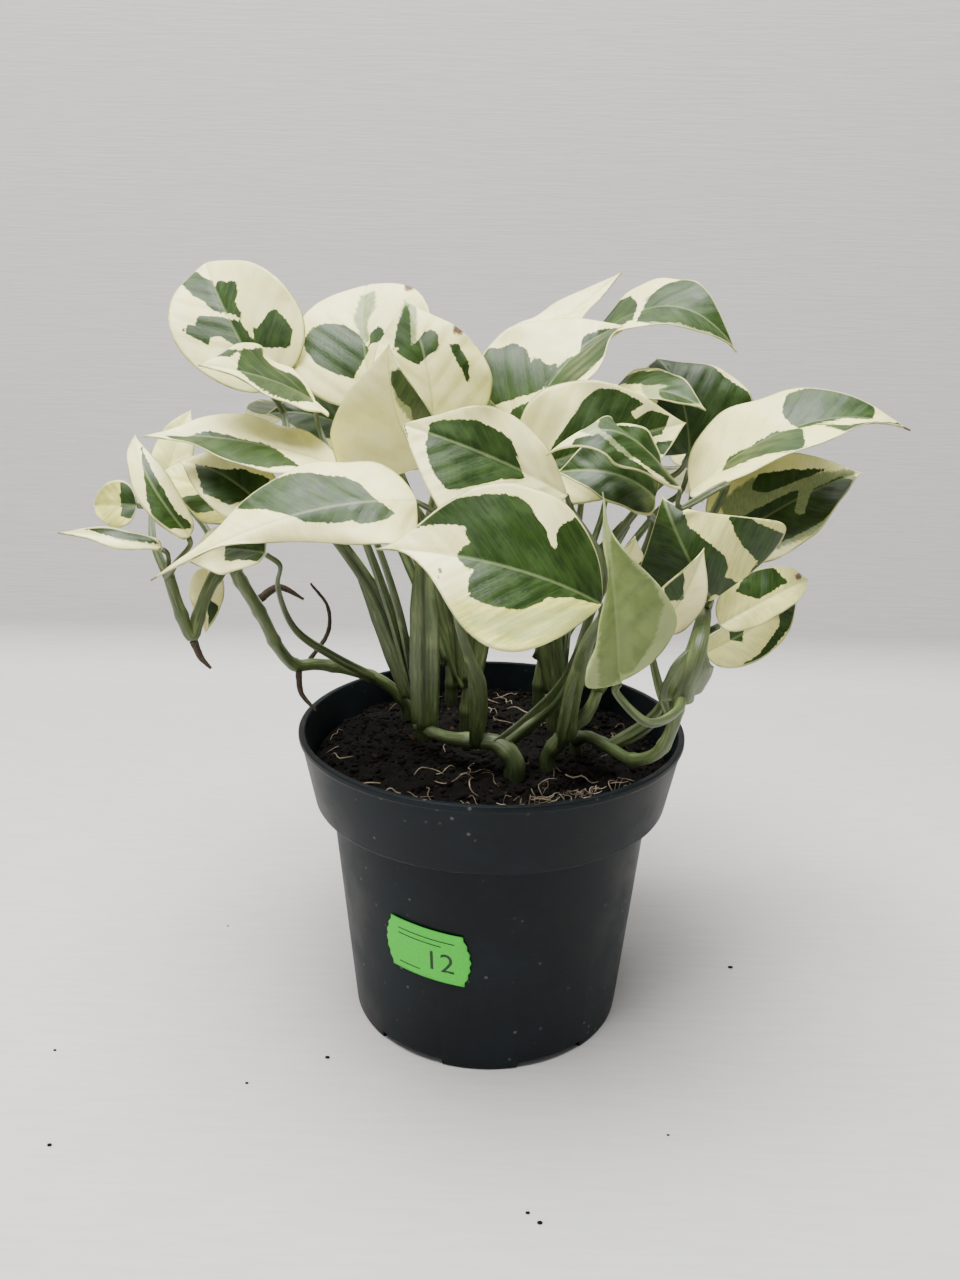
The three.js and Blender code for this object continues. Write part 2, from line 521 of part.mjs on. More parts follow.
// The soil: fills the pot's inside, heaped in the middle, with a plain hole for each vine
function soil() {
  const inner = (z) => bodyRadius(z) - WALL - FIT_GAP;
  const flare = (RIM_RADIUS - COLLAR_FOOT_RADIUS) / COLLAR_HEIGHT;
  const foot = COLLAR_FOOT_RADIUS - WALL - 2 * FIT_GAP;
  const edge = foot + flare * (SOIL_EDGE_HEIGHT - COLLAR_FOOT) - 2 * FIT_GAP;
  const filling = lathe(
    [
      [0, DRAIN_HEIGHT + FIT_GAP],
      [inner(DRAIN_HEIGHT) - FIT_GAP, DRAIN_HEIGHT + FIT_GAP],
      [inner(COLLAR_FOOT) - FIT_GAP, COLLAR_FOOT],
      [foot, COLLAR_FOOT + COLLAR_SLOPE + 2 * FIT_GAP],
      [edge, SOIL_EDGE_HEIGHT - 1],
      [edge - SOIL_SHOULDER, SOIL_EDGE_HEIGHT],
      [edge - SOIL_SLOPE, SOIL_EDGE_HEIGHT + SOIL_HEAP * 0.7],
      [0, SOIL_EDGE_HEIGHT + SOIL_HEAP],
    ],
    SOIL_SIDES,
  );
  let body = solid(filling);
  for (const vine of VINES) {
    const [x, y] = vine.hole;
    const radius = (vine.radius + HOLE_CLEARANCE) / Math.cos(Math.PI / VINE_SIDES);
    const hole = new THREE.CylinderGeometry(radius, radius, POT_HEIGHT, VINE_SIDES);
    hole.rotateX(Math.PI / 2);
    hole.translate(x, y, BURIED_LEVELS[0] - 1 + POT_HEIGHT / 2);
    body = body.subtract(solid(hole));
  }
  return fromSolid(body);
}

// The label: a thin patch wrapped on the pot's body, with bulging ends
function label() {
  const rows = LABEL_ROWS;
  const columns = LABEL_COLUMNS;
  const face = (lift) => {
    const points = [];
    for (let r = 0; r < rows; r += 1) {
      const t = (2 * r) / (rows - 1) - 1;
      const half = LABEL_WIDTH / 2 + LABEL_BULGE * Math.cos((Math.PI / 2) * t);
      for (let c = 0; c < columns; c += 1) {
        const x = half * ((2 * c) / (columns - 1) - 1);
        const tilt = degrees(LABEL_TILT);
        const z = LABEL_LEVEL + (t * LABEL_HEIGHT * Math.cos(tilt)) / 2 + x * Math.sin(tilt);
        const radius = bodyRadius(z) + lift;
        const turn = degrees(LABEL_TURN) + x / radius;
        points.push(new THREE.Vector3(radius * Math.sin(turn), -radius * Math.cos(turn), z));
      }
    }
    return points;
  };
  const at = (r, c) => r * columns + c;
  const faces = [];
  const rim = [];
  for (let r = 0; r < rows - 1; r += 1) {
    for (let c = 0; c < columns - 1; c += 1) {
      faces.push([at(r, c), at(r, c + 1), at(r + 1, c + 1)]);
      faces.push([at(r, c), at(r + 1, c + 1), at(r + 1, c)]);
    }
  }
  for (let c = 0; c < columns - 1; c += 1) {
    rim.push(at(0, c));
  }
  for (let r = 0; r < rows - 1; r += 1) {
    rim.push(at(r, columns - 1));
  }
  for (let c = columns - 1; c > 0; c -= 1) {
    rim.push(at(rows - 1, c));
  }
  for (let r = rows - 1; r > 0; r -= 1) {
    rim.push(at(r, 0));
  }
  return slab(face(FIT_GAP + LABEL_THICKNESS), face(FIT_GAP), faces, rim);
}

// A leaf's stalk: from its vine to just behind and under the base of its blade
function stalk(leaf, { from: start, via, radius: given }) {
  const { origin, tangent, normal } = midribFrame(leaf, 0);
  const end = origin.clone().addScaledVector(tangent, -STALK_BACK).addScaledVector(normal, -STALK_UNDER);
  const approach = Math.min(STALK_APPROACH, leaf.width / 5);
  const before = end.clone().addScaledVector(tangent, -approach).addScaledVector(normal, -approach * STALK_DIP);
  const points = [start, ...via, before.toArray(), end.toArray()];
  const radius = given ?? Math.min(STALK_RADIUS, STALK_LEAST_RADIUS + leaf.width / STALK_SPREAD);
  const radii = [radius, radius * 0.85, radius * 0.75, STALK_TIP_RADIUS];
  return tube(points, radii, STALK_SIDES, 3 + 2 * via.length);
}

function vineBody(vine) {
  const [x, y] = vine.hole;
  const buried = BURIED_LEVELS.map((z) => [x, y, z]);
  const slim = Math.min(vine.radius, SLIM_VINE_RADIUS);
  const radii = [vine.radius, (vine.radius + slim) / 2, slim, VINE_TIP_RADIUS];
  let body = solid(tube([...buried, ...vine.path], radii, VINE_SIDES, 6 + 2 * vine.path.length));
  for (const one of vine.stalks) {
    const leaf = { ...LEAF_DEFAULTS, ...LEAVES.find(({ name }) => name === one.leaf) };
    body = body.add(solid(stalk(leaf, one)));
  }
  return fromSolid(body);
}

const group = new THREE.Group();

function addNode(name, geometry, look) {
  const { colour: color, roughness } = look;
  const material = new THREE.MeshStandardMaterial({ color, roughness, metalness: 0 });
  const mesh = new THREE.Mesh(geometry, material);
  mesh.name = name;
  group.add(mesh);
}

addNode("pot", pot(), POT_FINISH);
addNode("soil", soil(), SOIL_FINISH);
addNode("label", label(), LABEL_FINISH);
for (const vine of VINES) {
  addNode(vine.name, vineBody(vine), VINE_FINISH);
}
for (const root of ROOTS) {
  const radii = [root.radius, root.radius * 0.8, ROOT_TIP_RADIUS];
  addNode(root.name, tube(root.path, radii, STALK_SIDES, ROOT_STEPS), ROOT_FINISH);
}
for (const leaf of LEAVES) {
  addNode(leaf.name, blade({ ...LEAF_DEFAULTS, ...leaf }), LEAF_FINISH);
}

export default group;
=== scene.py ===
# Potted pothos with cream and green leaves, in a black nursery pot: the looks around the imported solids.
# Tables are in millimetres and the meshes in metres. +Z is up, and -Y is the front.
import math
import random

import bmesh
import bpy
import numpy as np
from mathutils import Matrix, Vector, noise


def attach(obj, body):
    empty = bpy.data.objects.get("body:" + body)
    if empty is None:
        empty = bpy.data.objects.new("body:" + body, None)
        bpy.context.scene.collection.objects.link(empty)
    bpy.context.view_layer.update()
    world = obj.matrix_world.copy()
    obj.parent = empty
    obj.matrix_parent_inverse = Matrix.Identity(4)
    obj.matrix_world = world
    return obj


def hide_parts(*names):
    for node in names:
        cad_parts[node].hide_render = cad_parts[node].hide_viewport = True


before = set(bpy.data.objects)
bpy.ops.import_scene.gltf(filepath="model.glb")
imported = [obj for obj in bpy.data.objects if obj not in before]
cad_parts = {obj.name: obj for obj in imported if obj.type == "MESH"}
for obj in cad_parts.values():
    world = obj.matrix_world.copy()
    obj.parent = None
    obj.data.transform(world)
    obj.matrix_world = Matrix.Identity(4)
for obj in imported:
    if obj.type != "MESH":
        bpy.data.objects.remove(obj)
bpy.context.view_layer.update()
MM = 0.001

# The camera stood here, and these are its own directions. FOCAL is in pixels of the 960 by 1280 picture.
CAMERA_PLACE = np.array([0.0, -307.9, 219.5])
CAMERA_RIGHT = np.array([0.9997, 0.0185, 0.0171])
CAMERA_UP = np.array([-0.0219, 0.2993, 0.9539])
CAMERA_FORWARD = np.array([-0.0125, 0.954, -0.2996])
PICTURE_WIDTH = 960
PICTURE_HEIGHT = 1280
FOCAL = 1050
SENSOR = 36

# Pot and soil, as in the solids
POT_HEIGHT = 96
RIM_RADIUS = 60
BASE_RADIUS = 43.5
COLLAR_FOOT = 73
COLLAR_TOP_RADIUS = 59.3
COLLAR_INSIDE_FOOT = 75
SHOULDER_START = 71.4
SHOULDER_END = 72.4
COLLAR_FOOT_RADIUS = 55.2
BODY_TOP_RADIUS = 50.3
WALL = 1.3
FLOOR = 2
LIP_HEIGHT = 2.2
DRAIN_COUNT = 6
DRAIN_SPAN = 30
DRAIN_TURN = -77
DRAIN_INNER_RADIUS = 34
DRAIN_HEIGHT = 2.3
POT_SIDES = 192
SHARP_ANGLE = 35
SOIL_EDGE_RADIUS = 54.9
SOIL_EDGE_HEIGHT = 87
SOIL_HEAP = 4
SOIL_ROUGHNESS = 1.1
SOIL_SIDES = 200
SOIL_RINGS = 74
CRUMB_COUNT = 2600
FIBRE_COUNT = 54
RIM_FIBRE_COUNT = 46
SOIL_SEED = 11
FIBRE_SEED = 5

# Dark crumbs on the sheet
FLOOR_SPECKS = [
    (-70, -52), (-118, -78), (12, -96), (15, -99), (-48, -40), (52, -68), (-96, 30), (86, 12), (-132, -40),
]
SPECK_SEED = 3

# Label, as in the solids
LABEL_WIDTH = 23
LABEL_BULGE = 2.2
LABEL_HEIGHT = 17.5
LABEL_THICKNESS = 0.3
LABEL_GAP = 0.35
LABEL_TURN = -21.6
LABEL_LEVEL = 41.2
LABEL_TILT = -5
LABEL_ROWS = 24
LABEL_COLUMNS = 40
LABEL_WAVE = 0.45
NUMBER_SIZE = 9.5
INK_HEIGHT = 0.04

# Leaf blades, as in the solids
BLADE_SHARPNESS = 0.8
LOBE_PEAK = 6.75
LOBE_POWER = 1.5
WAVE_TURNS = 1.5
HALVES_OUT_OF_STEP = 1.3
SHARE_STATIONS = (0.2, 0.5, 0.8)
LEAST_SHARE = 0.1
BLADE_HALF_THICKNESS = 0.3
BLADE_ROWS = 60
BLADE_COLUMNS = 36
VEIN_SPACING = 3.4
VEIN_LEAN = 1.1
RIB_HALF_WIDTH = 0.55
SMALL_BLADE_WIDTH = 16
FULL_RUFFLE_WIDTH = 36

# What the finer blades add: raised veins, a grooved midrib and a keel under it
QUILT_HEIGHT = 0.16
GROOVE_DEPTH = 0.22
GROOVE_WIDTH = 0.8
KEEL_DEPTH = 0.45
KEEL_WIDTH = 0.9

# A patch's depth where there is none, in millimetres
FAR_OUTSIDE = -20.0

# Vines and leaf stalks, as in the solids
VINE_TIP_RADIUS = 1.6
SLIM_VINE_RADIUS = 2.3
BURIED_LEVELS = [64, 78, 90, 94]
STALK_RADIUS = 2.5
STALK_LEAST_RADIUS = 0.9
STALK_SPREAD = 30
STALK_TIP_RADIUS = 0.75
STALK_BACK = 0.4
STALK_UNDER = 0.55
STALK_APPROACH = 6
STALK_DIP = 0.8
ROOT_TIP_RADIUS = 0.4
STALK_SLIM = 0.62
SHEATHED_WIDTH = 26
SHEATH_REACH = [13, 16, 10]

# What the finer vines and roots add: knobs at the nodes, a groove along a stalk and gnarled roots
KNOB_HEIGHT = 0.35
KNOB_WIDTH = 1.6
KNOB_START = 34
KNOB_SPACING = 13
SLIT_WIDTH = 0.42
ROOT_GNARL = 0.16
ROOT_SEED = 7

# Leaves that lie close to a neighbour keep less of their waves and keel
CLOSE_LEAVES = {
    "leaf_inner_right": 0, "leaf_droop_right": 0, "leaf_behind_left": 0, "leaf_high_left": 0.3,
    "leaf_top_left": 0.3,
}

# What a leaf has where its row doesn't say otherwise, as in the solids
LEAF_DEFAULTS = {
    "arch": 6, "skew": 0, "sweep": 0, "fold": 8, "split": 0, "wave": 1, "lobe": 0.12, "belly": 0.8,
    "taper": 0.5, "left": [1, 1, 1], "right": [1, 1, 1],
}


def blade(name, base, tip, face, width, **changes):
    """A leaf's row: its midrib's ends, the way its upper face looks, its width and how it bends"""
    row = {"name": "leaf_" + name, "base": base, "tip": tip, "face": face, "width": width}
    return {**LEAF_DEFAULTS, **row, **changes}


def grown(leaf, start, *via, **changes):
    """A stalk's row: the leaf it carries, where it leaves its vine and the places it passes"""
    return {"leaf": "leaf_" + leaf, "from": start, "via": list(via), **changes}


# The leaves, as in the solids
LEAVES = [
    blade("top_left", [-68, 8, 196], [-91, 34, 232], [-0.2, -1, 0.5], 41, arch=7, taper=0.2,
          left=[0.55, 0.85, 1.2]),
    blade("upper_left", [-52, -4, 194], [-77, -32, 205], [0, -0.6, 0.8], 30, arch=2),
    blade("high_left", [-36, 4, 192], [-41, 30, 226], [-0.2, -1, 0.4], 44, arch=7, belly=1, taper=0),
    blade("high_middle", [-18, -8, 186], [-27, 2, 222], [0.4, -1, 0.2], 36),
    blade("pale_middle", [-19, -20, 179], [-28, -34, 211], [-0.5, -1, 0], 43, fold=22),
    blade("high_right", [8, -4.5, 188], [36, 13, 216], [-0.6, -0.8, 0.5], 47, fold=24, split=-8),
    blade("back_point", [2, 30, 207], [38, 42, 232], [-0.2, -0.5, 0.8], 18, arch=-2),
    blade("top_right", [30, 36, 213], [70, 14, 209], [0, -0.55, 0.85], 34, arch=12, skew=0.35,
          right=[1, 1.1, 1.3]),
    blade("back_dark", [60, 24, 178], [50, 40, 206], [0.3, -0.9, 0.4], 46),
    blade("folded_right", [31, 8, 194], [58, -8, 194], [0, -0.4, 0.9], 26, arch=5),
    blade("mid_right", [8, -26.5, 178.5], [51, -19, 191.5], [0, -0.95, 0.3], 38, right=[0.7, 0.75, 0.9]),
    blade("arched_right", [46, -46, 178], [12, -49, 186], [0.1, -0.5, 0.85], 22, arch=11, skew=0.5,
          fold=-25, lobe=0, belly=1, left=[0.7, 0.7, 0.8]),
    blade("dark_right", [41, -37, 174], [15, -38, 180], [0, -0.75, 0.65], 32, left=[0.6, 0.6, 0.7]),
    blade("droop_right", [57, -42, 148.3], [43, -35.5, 174.5], [0.2, -0.95, 0.2], 44, fold=-20,
          split=-36, sweep=-3, lobe=0.18, left=[0.7, 0.85, 0.9], right=[1.2, 1.1, 0.75]),
    blade("low_right", [60, -40, 141], [88, -20, 149], [-0.1, -0.9, 0.4], 18, right=[0.6, 0.6, 0.7]),
    blade("far_right", [56, -6, 171], [114, -12, 190], [-0.1, -0.5, 0.87], 38, arch=12, skew=0.2,
          fold=15, split=-10, right=[1, 1.15, 1.4]),
    blade("under_far_right", [63, -18, 157], [105, -4, 177], [0, -0.75, 0.65], 34, fold=12,
          right=[0.8, 0.75, 0.7]),
    blade("small_right", [60, -24, 128], [90, -4, 141], [0.1, -0.9, 0.2], 18, left=[0.6, 0.6, 0.8]),
    blade("front", [26, -62, 152], [-28, -68, 166], [0, -0.8, 0.6], 41, arch=8, wave=2, lobe=0,
          belly=0.95, taper=0.8, left=[1, 1, 0.5], right=[1.3, 1, 1]),
    blade("over_front", [18, -42, 175], [-23, -52, 193], [0.1, -0.85, 0.5], 33, arch=3, lobe=0, belly=1,
          taper=0, left=[1.3, 1.5, 1.3], right=[0.7, 0.75, 0.6]),
    blade("long_left", [-20, -48, 174], [-87, -52, 153], [0, -0.65, 0.75], 38, arch=8, skew=-0.2,
          fold=-12, belly=0.75, taper=1, left=[0.85, 0.4, 0.25], right=[1, 1, 0.8]),
    blade("long_upper_left", [-44, -20, 178], [-92, -34, 187], [0, -0.4, 0.92], 31, arch=3,
          right=[0.8, 0.8, 0.8]),
    blade("left_dark", [-61, -30, 167], [-86, -24, 179], [0, -0.7, 0.7], 20),
    blade("left_crescent", [-81, -36, 161], [-98, -22, 186], [0.6, -0.8, 0.3], 11, sweep=-5),
    blade("left_tiny", [-102, -14, 165], [-116, -10, 164], [0, -0.9, 0.3], 14, arch=2),
    blade("left_pale", [-96, -4, 172], [-91, 8, 190], [0, -1, 0.3], 12, arch=2),
    blade("far_left", [-90, -32, 157], [-117, -34, 161], [0, -0.5, 0.8], 7, arch=1),
    blade("left_yellow", [-74, -14, 164], [-96, -20, 174], [0, -0.6, 0.8], 22, arch=4),
    blade("left_low", [-62, -32, 156], [-86, -26, 152], [0, -0.6, 0.8], 18, arch=3),
    blade("left_hanging", [-83, -14, 147], [-84, -16, 128], [0.3, -1, 0], 10, arch=2),
    blade("behind_left", [-44, 22, 182], [-71, 17, 188], [0, -0.6, 0.8], 26, arch=4),
    blade("new", [30, -74, 136], [24, -72, 181], [0.1, -1, 0], 24, arch=3, fold=14, taper=1,
          left=[0.95, 0.25, 0.25], right=[0.7, 1.15, 0.35]),
    blade("inner_right", [43, -46, 141], [53, -46, 163], [0.3, -1, 0], 14, arch=2),
    blade("inner_pale", [31.5, -48, 158], [34.5, -53, 167], [0.3, -1, 0.1], 9, arch=1),
    blade("back_left", [-50, 42, 180], [-92, 70, 174], [-0.2, 0.4, 1], 38, arch=8),
    blade("back_high_left", [-20, 48, 192], [-38, 92, 190], [-0.1, 0.4, 1], 40, arch=8),
    blade("back_middle", [8, 56, 186], [12, 106, 174], [0, 0.5, 0.9], 42, arch=8),
    blade("back_high_right", [32, 50, 190], [62, 90, 184], [0.2, 0.4, 1], 38, arch=8),
    blade("back_right", [62, 34, 172], [104, 58, 168], [0.2, 0.3, 1], 36, arch=7),
    blade("back_low_left", [-34, 52, 166], [-62, 92, 150], [-0.4, 0.8, 0.7], 36),
    blade("back_low_right", [40, 54, 164], [78, 86, 152], [0.5, 0.7, 0.7], 36),
    blade("back_low", [2, 54, 160], [-14, 98, 146], [0, 0.8, 0.7], 38),
]

# Each vine: where it stands in the soil, its way on from there, and its stalks, as in the solids
VINES = [
    {"name": "vine_front", "hole": [7, -27], "radius": 4.5,
     "path": [[2, -25, 99], [-6, -23, 99], [-14, -18, 98], [-23, -12, 99]],
     "stalks": [
         grown("long_left", [-4, -24, 99], [-4, -30, 117], [-9, -36, 138]),
         grown("pale_middle", [-20, -14, 99], [-20, -16, 128], [-20, -15, 155]),
         grown("over_front", [2, -25, 98], [9, -22, 103], [20, -17, 112], [27, -24, 138],
               [28, -47, 158]),
     ]},
    {"name": "vine_right_front", "hole": [17, -22], "radius": 2.4,
     "path": [[22, -24, 103], [28, -23, 109], [31, -21, 116]],
     "stalks": [
         grown("front", [22, -24, 103], [23, -36, 122], [25, -50, 140], radius=3.6),
         grown("dark_right", [31, -21, 115], [37, -20, 140], [43, -24, 165]),
         grown("inner_pale", [31, -21, 114], [33, -28, 140]),
         grown("arched_right", [31, -21, 115], [43, -21, 138], [56, -24, 162], [60, -32, 176],
               [56, -43, 178]),
     ]},
    {"name": "vine_right_small", "hole": [26, -10], "radius": 1.8,
     "path": [[29, -18, 99], [34, -25, 99], [40, -34, 99], [46, -40, 104], [49, -44, 114],
              [50, -46, 124]],
     "stalks": [
         grown("small_right", [34, -25, 99], [43, -26, 104], [52, -27, 116]),
         grown("low_right", [34, -25, 99], [46, -28, 110], [53, -33, 128]),
         grown("droop_right", [50, -46, 123], [53, -48, 136], radius=4.2),
         grown("new", [50, -46, 123], [47, -58, 123], [38, -68, 124]),
         grown("inner_right", [49, -44, 114], [44, -44, 126]),
     ]},
    {"name": "vine_left_long", "hole": [-28, 16], "radius": 1.9,
     "path": [[-35, 14, 103], [-46, 12, 108], [-56, 8, 111], [-62, 4, 112], [-66, -1, 119],
              [-69, -8, 131], [-73, -16, 144], [-75, -20, 150], [-79, -22, 146], [-83, -24, 137],
              [-85, -26, 130], [-88, -27, 139], [-90, -28, 149]],
     "stalks": [
         grown("left_low", [-38, 13, 105], [-50, 2, 116], [-59, -8, 127], [-61, -22, 144]),
         grown("left_dark", [-74, -18, 147], [-67, -24, 157]),
         grown("left_yellow", [-74, -17, 146], [-72, -13, 155]),
         grown("left_pale", [-75.5, -20.4, 149.5], [-86, -8, 160]),
         grown("left_hanging", [-74, -18, 147], [-76, -12, 150]),
         grown("left_crescent", [-90, -28, 148], [-85, -35, 154]),
         grown("far_left", [-90, -28, 148]),
         grown("left_tiny", [-89, -27, 144], [-96, -20, 156]),
     ]},
    {"name": "vine_left_middle", "hole": [-22, -2], "radius": 2.2,
     "path": [[-22, -2, 100], [-24, -2, 107]],
     "stalks": [
         grown("top_left", [-24, -2, 105], [-36, -4, 138], [-57, -8, 172]),
         grown("upper_left", [-24, -2, 104], [-32, -8, 138], [-44, -10, 172]),
         grown("long_upper_left", [-23, -2, 102], [-28, -12, 136], [-35, -17, 160]),
     ]},
    {"name": "vine_middle", "hole": [-8, 4], "radius": 2.2,
     "path": [[-8, 4, 100], [-7, 4, 110]],
     "stalks": [
         grown("high_left", [-8, 4, 108], [-16, 6, 140], [-28, 6, 170]),
         grown("high_middle", [-7, 4, 107], [-10, 2, 140], [-15, 2, 168]),
         grown("high_right", [-7, 4, 109], [-2, 2, 140], [3, 0, 170]),
         grown("back_point", [-7, 4, 109], [-5, 14, 145], [-3, 26, 185]),
         grown("behind_left", [-8, 4, 106], [-22, 10, 140], [-36, 14, 168]),
     ]},
    {"name": "vine_right_middle", "hole": [20, 8], "radius": 2.2,
     "path": [[20, 8, 100], [22, 8, 108]],
     "stalks": [
         grown("top_right", [22, 8, 106], [22, 16, 145], [24, 28, 188]),
         grown("mid_right", [21, 8, 103], [14, 2, 138], [6, -10, 164]),
         grown("folded_right", [22, 8, 106], [24, 8, 140], [27, 10, 174]),
         grown("far_right", [22, 8, 105], [36, 4, 128], [49, -2, 152]),
         grown("under_far_right", [22, 8, 104], [38, 0, 122], [52, -8, 142]),
     ]},
    {"name": "vine_back_right", "hole": [16, 30], "radius": 2.2,
     "path": [[16, 30, 100], [17, 31, 108]],
     "stalks": [
         grown("back_dark", [17, 31, 106], [34, 32, 140], [52, 32, 166]),
         grown("back_high_right", [17, 31, 106], [22, 38, 145], [28, 44, 174]),
         grown("back_right", [17, 31, 105], [36, 36, 132], [54, 36, 158]),
         grown("back_low_right", [17, 31, 104], [28, 42, 130], [36, 48, 152]),
     ]},
    {"name": "vine_back_left", "hole": [-14, 30], "radius": 2.2,
     "path": [[-14, 30, 100], [-15, 31, 108]],
     "stalks": [
         grown("back_left", [-15, 31, 106], [-30, 36, 140], [-44, 40, 166]),
         grown("back_high_left", [-15, 31, 106], [-17, 38, 145], [-18, 42, 176]),
         grown("back_middle", [-15, 31, 106], [-6, 42, 140], [4, 50, 168]),
         grown("back_low_left", [-15, 31, 104], [-24, 40, 130], [-31, 47, 152]),
         grown("back_low", [-15, 31, 104], [-8, 40, 124], [-1, 48, 146]),
     ]},
]

# Brown air roots at the vines' nodes, as in the solids
ROOTS = [
    {"name": "root_rim_left", "radius": 1.1, "path": [[-61, 3.4, 110], [-60, 1, 104], [-55, -2, 99]]},
    {"name": "root_hanging", "radius": 1.2,
     "path": [[-84.8, -26, 128.9], [-83, -26, 124], [-80, -27, 121]]},
    {"name": "root_stub", "radius": 1.3, "path": [[-69.2, -9.2, 137], [-64, -7, 140], [-57, -5, 136]]},
    {"name": "root_long", "radius": 0.8,
     "path": [[-58.5, 9.8, 112], [-53, 12, 120], [-52, 8, 130], [-56, 2, 139]]},
]

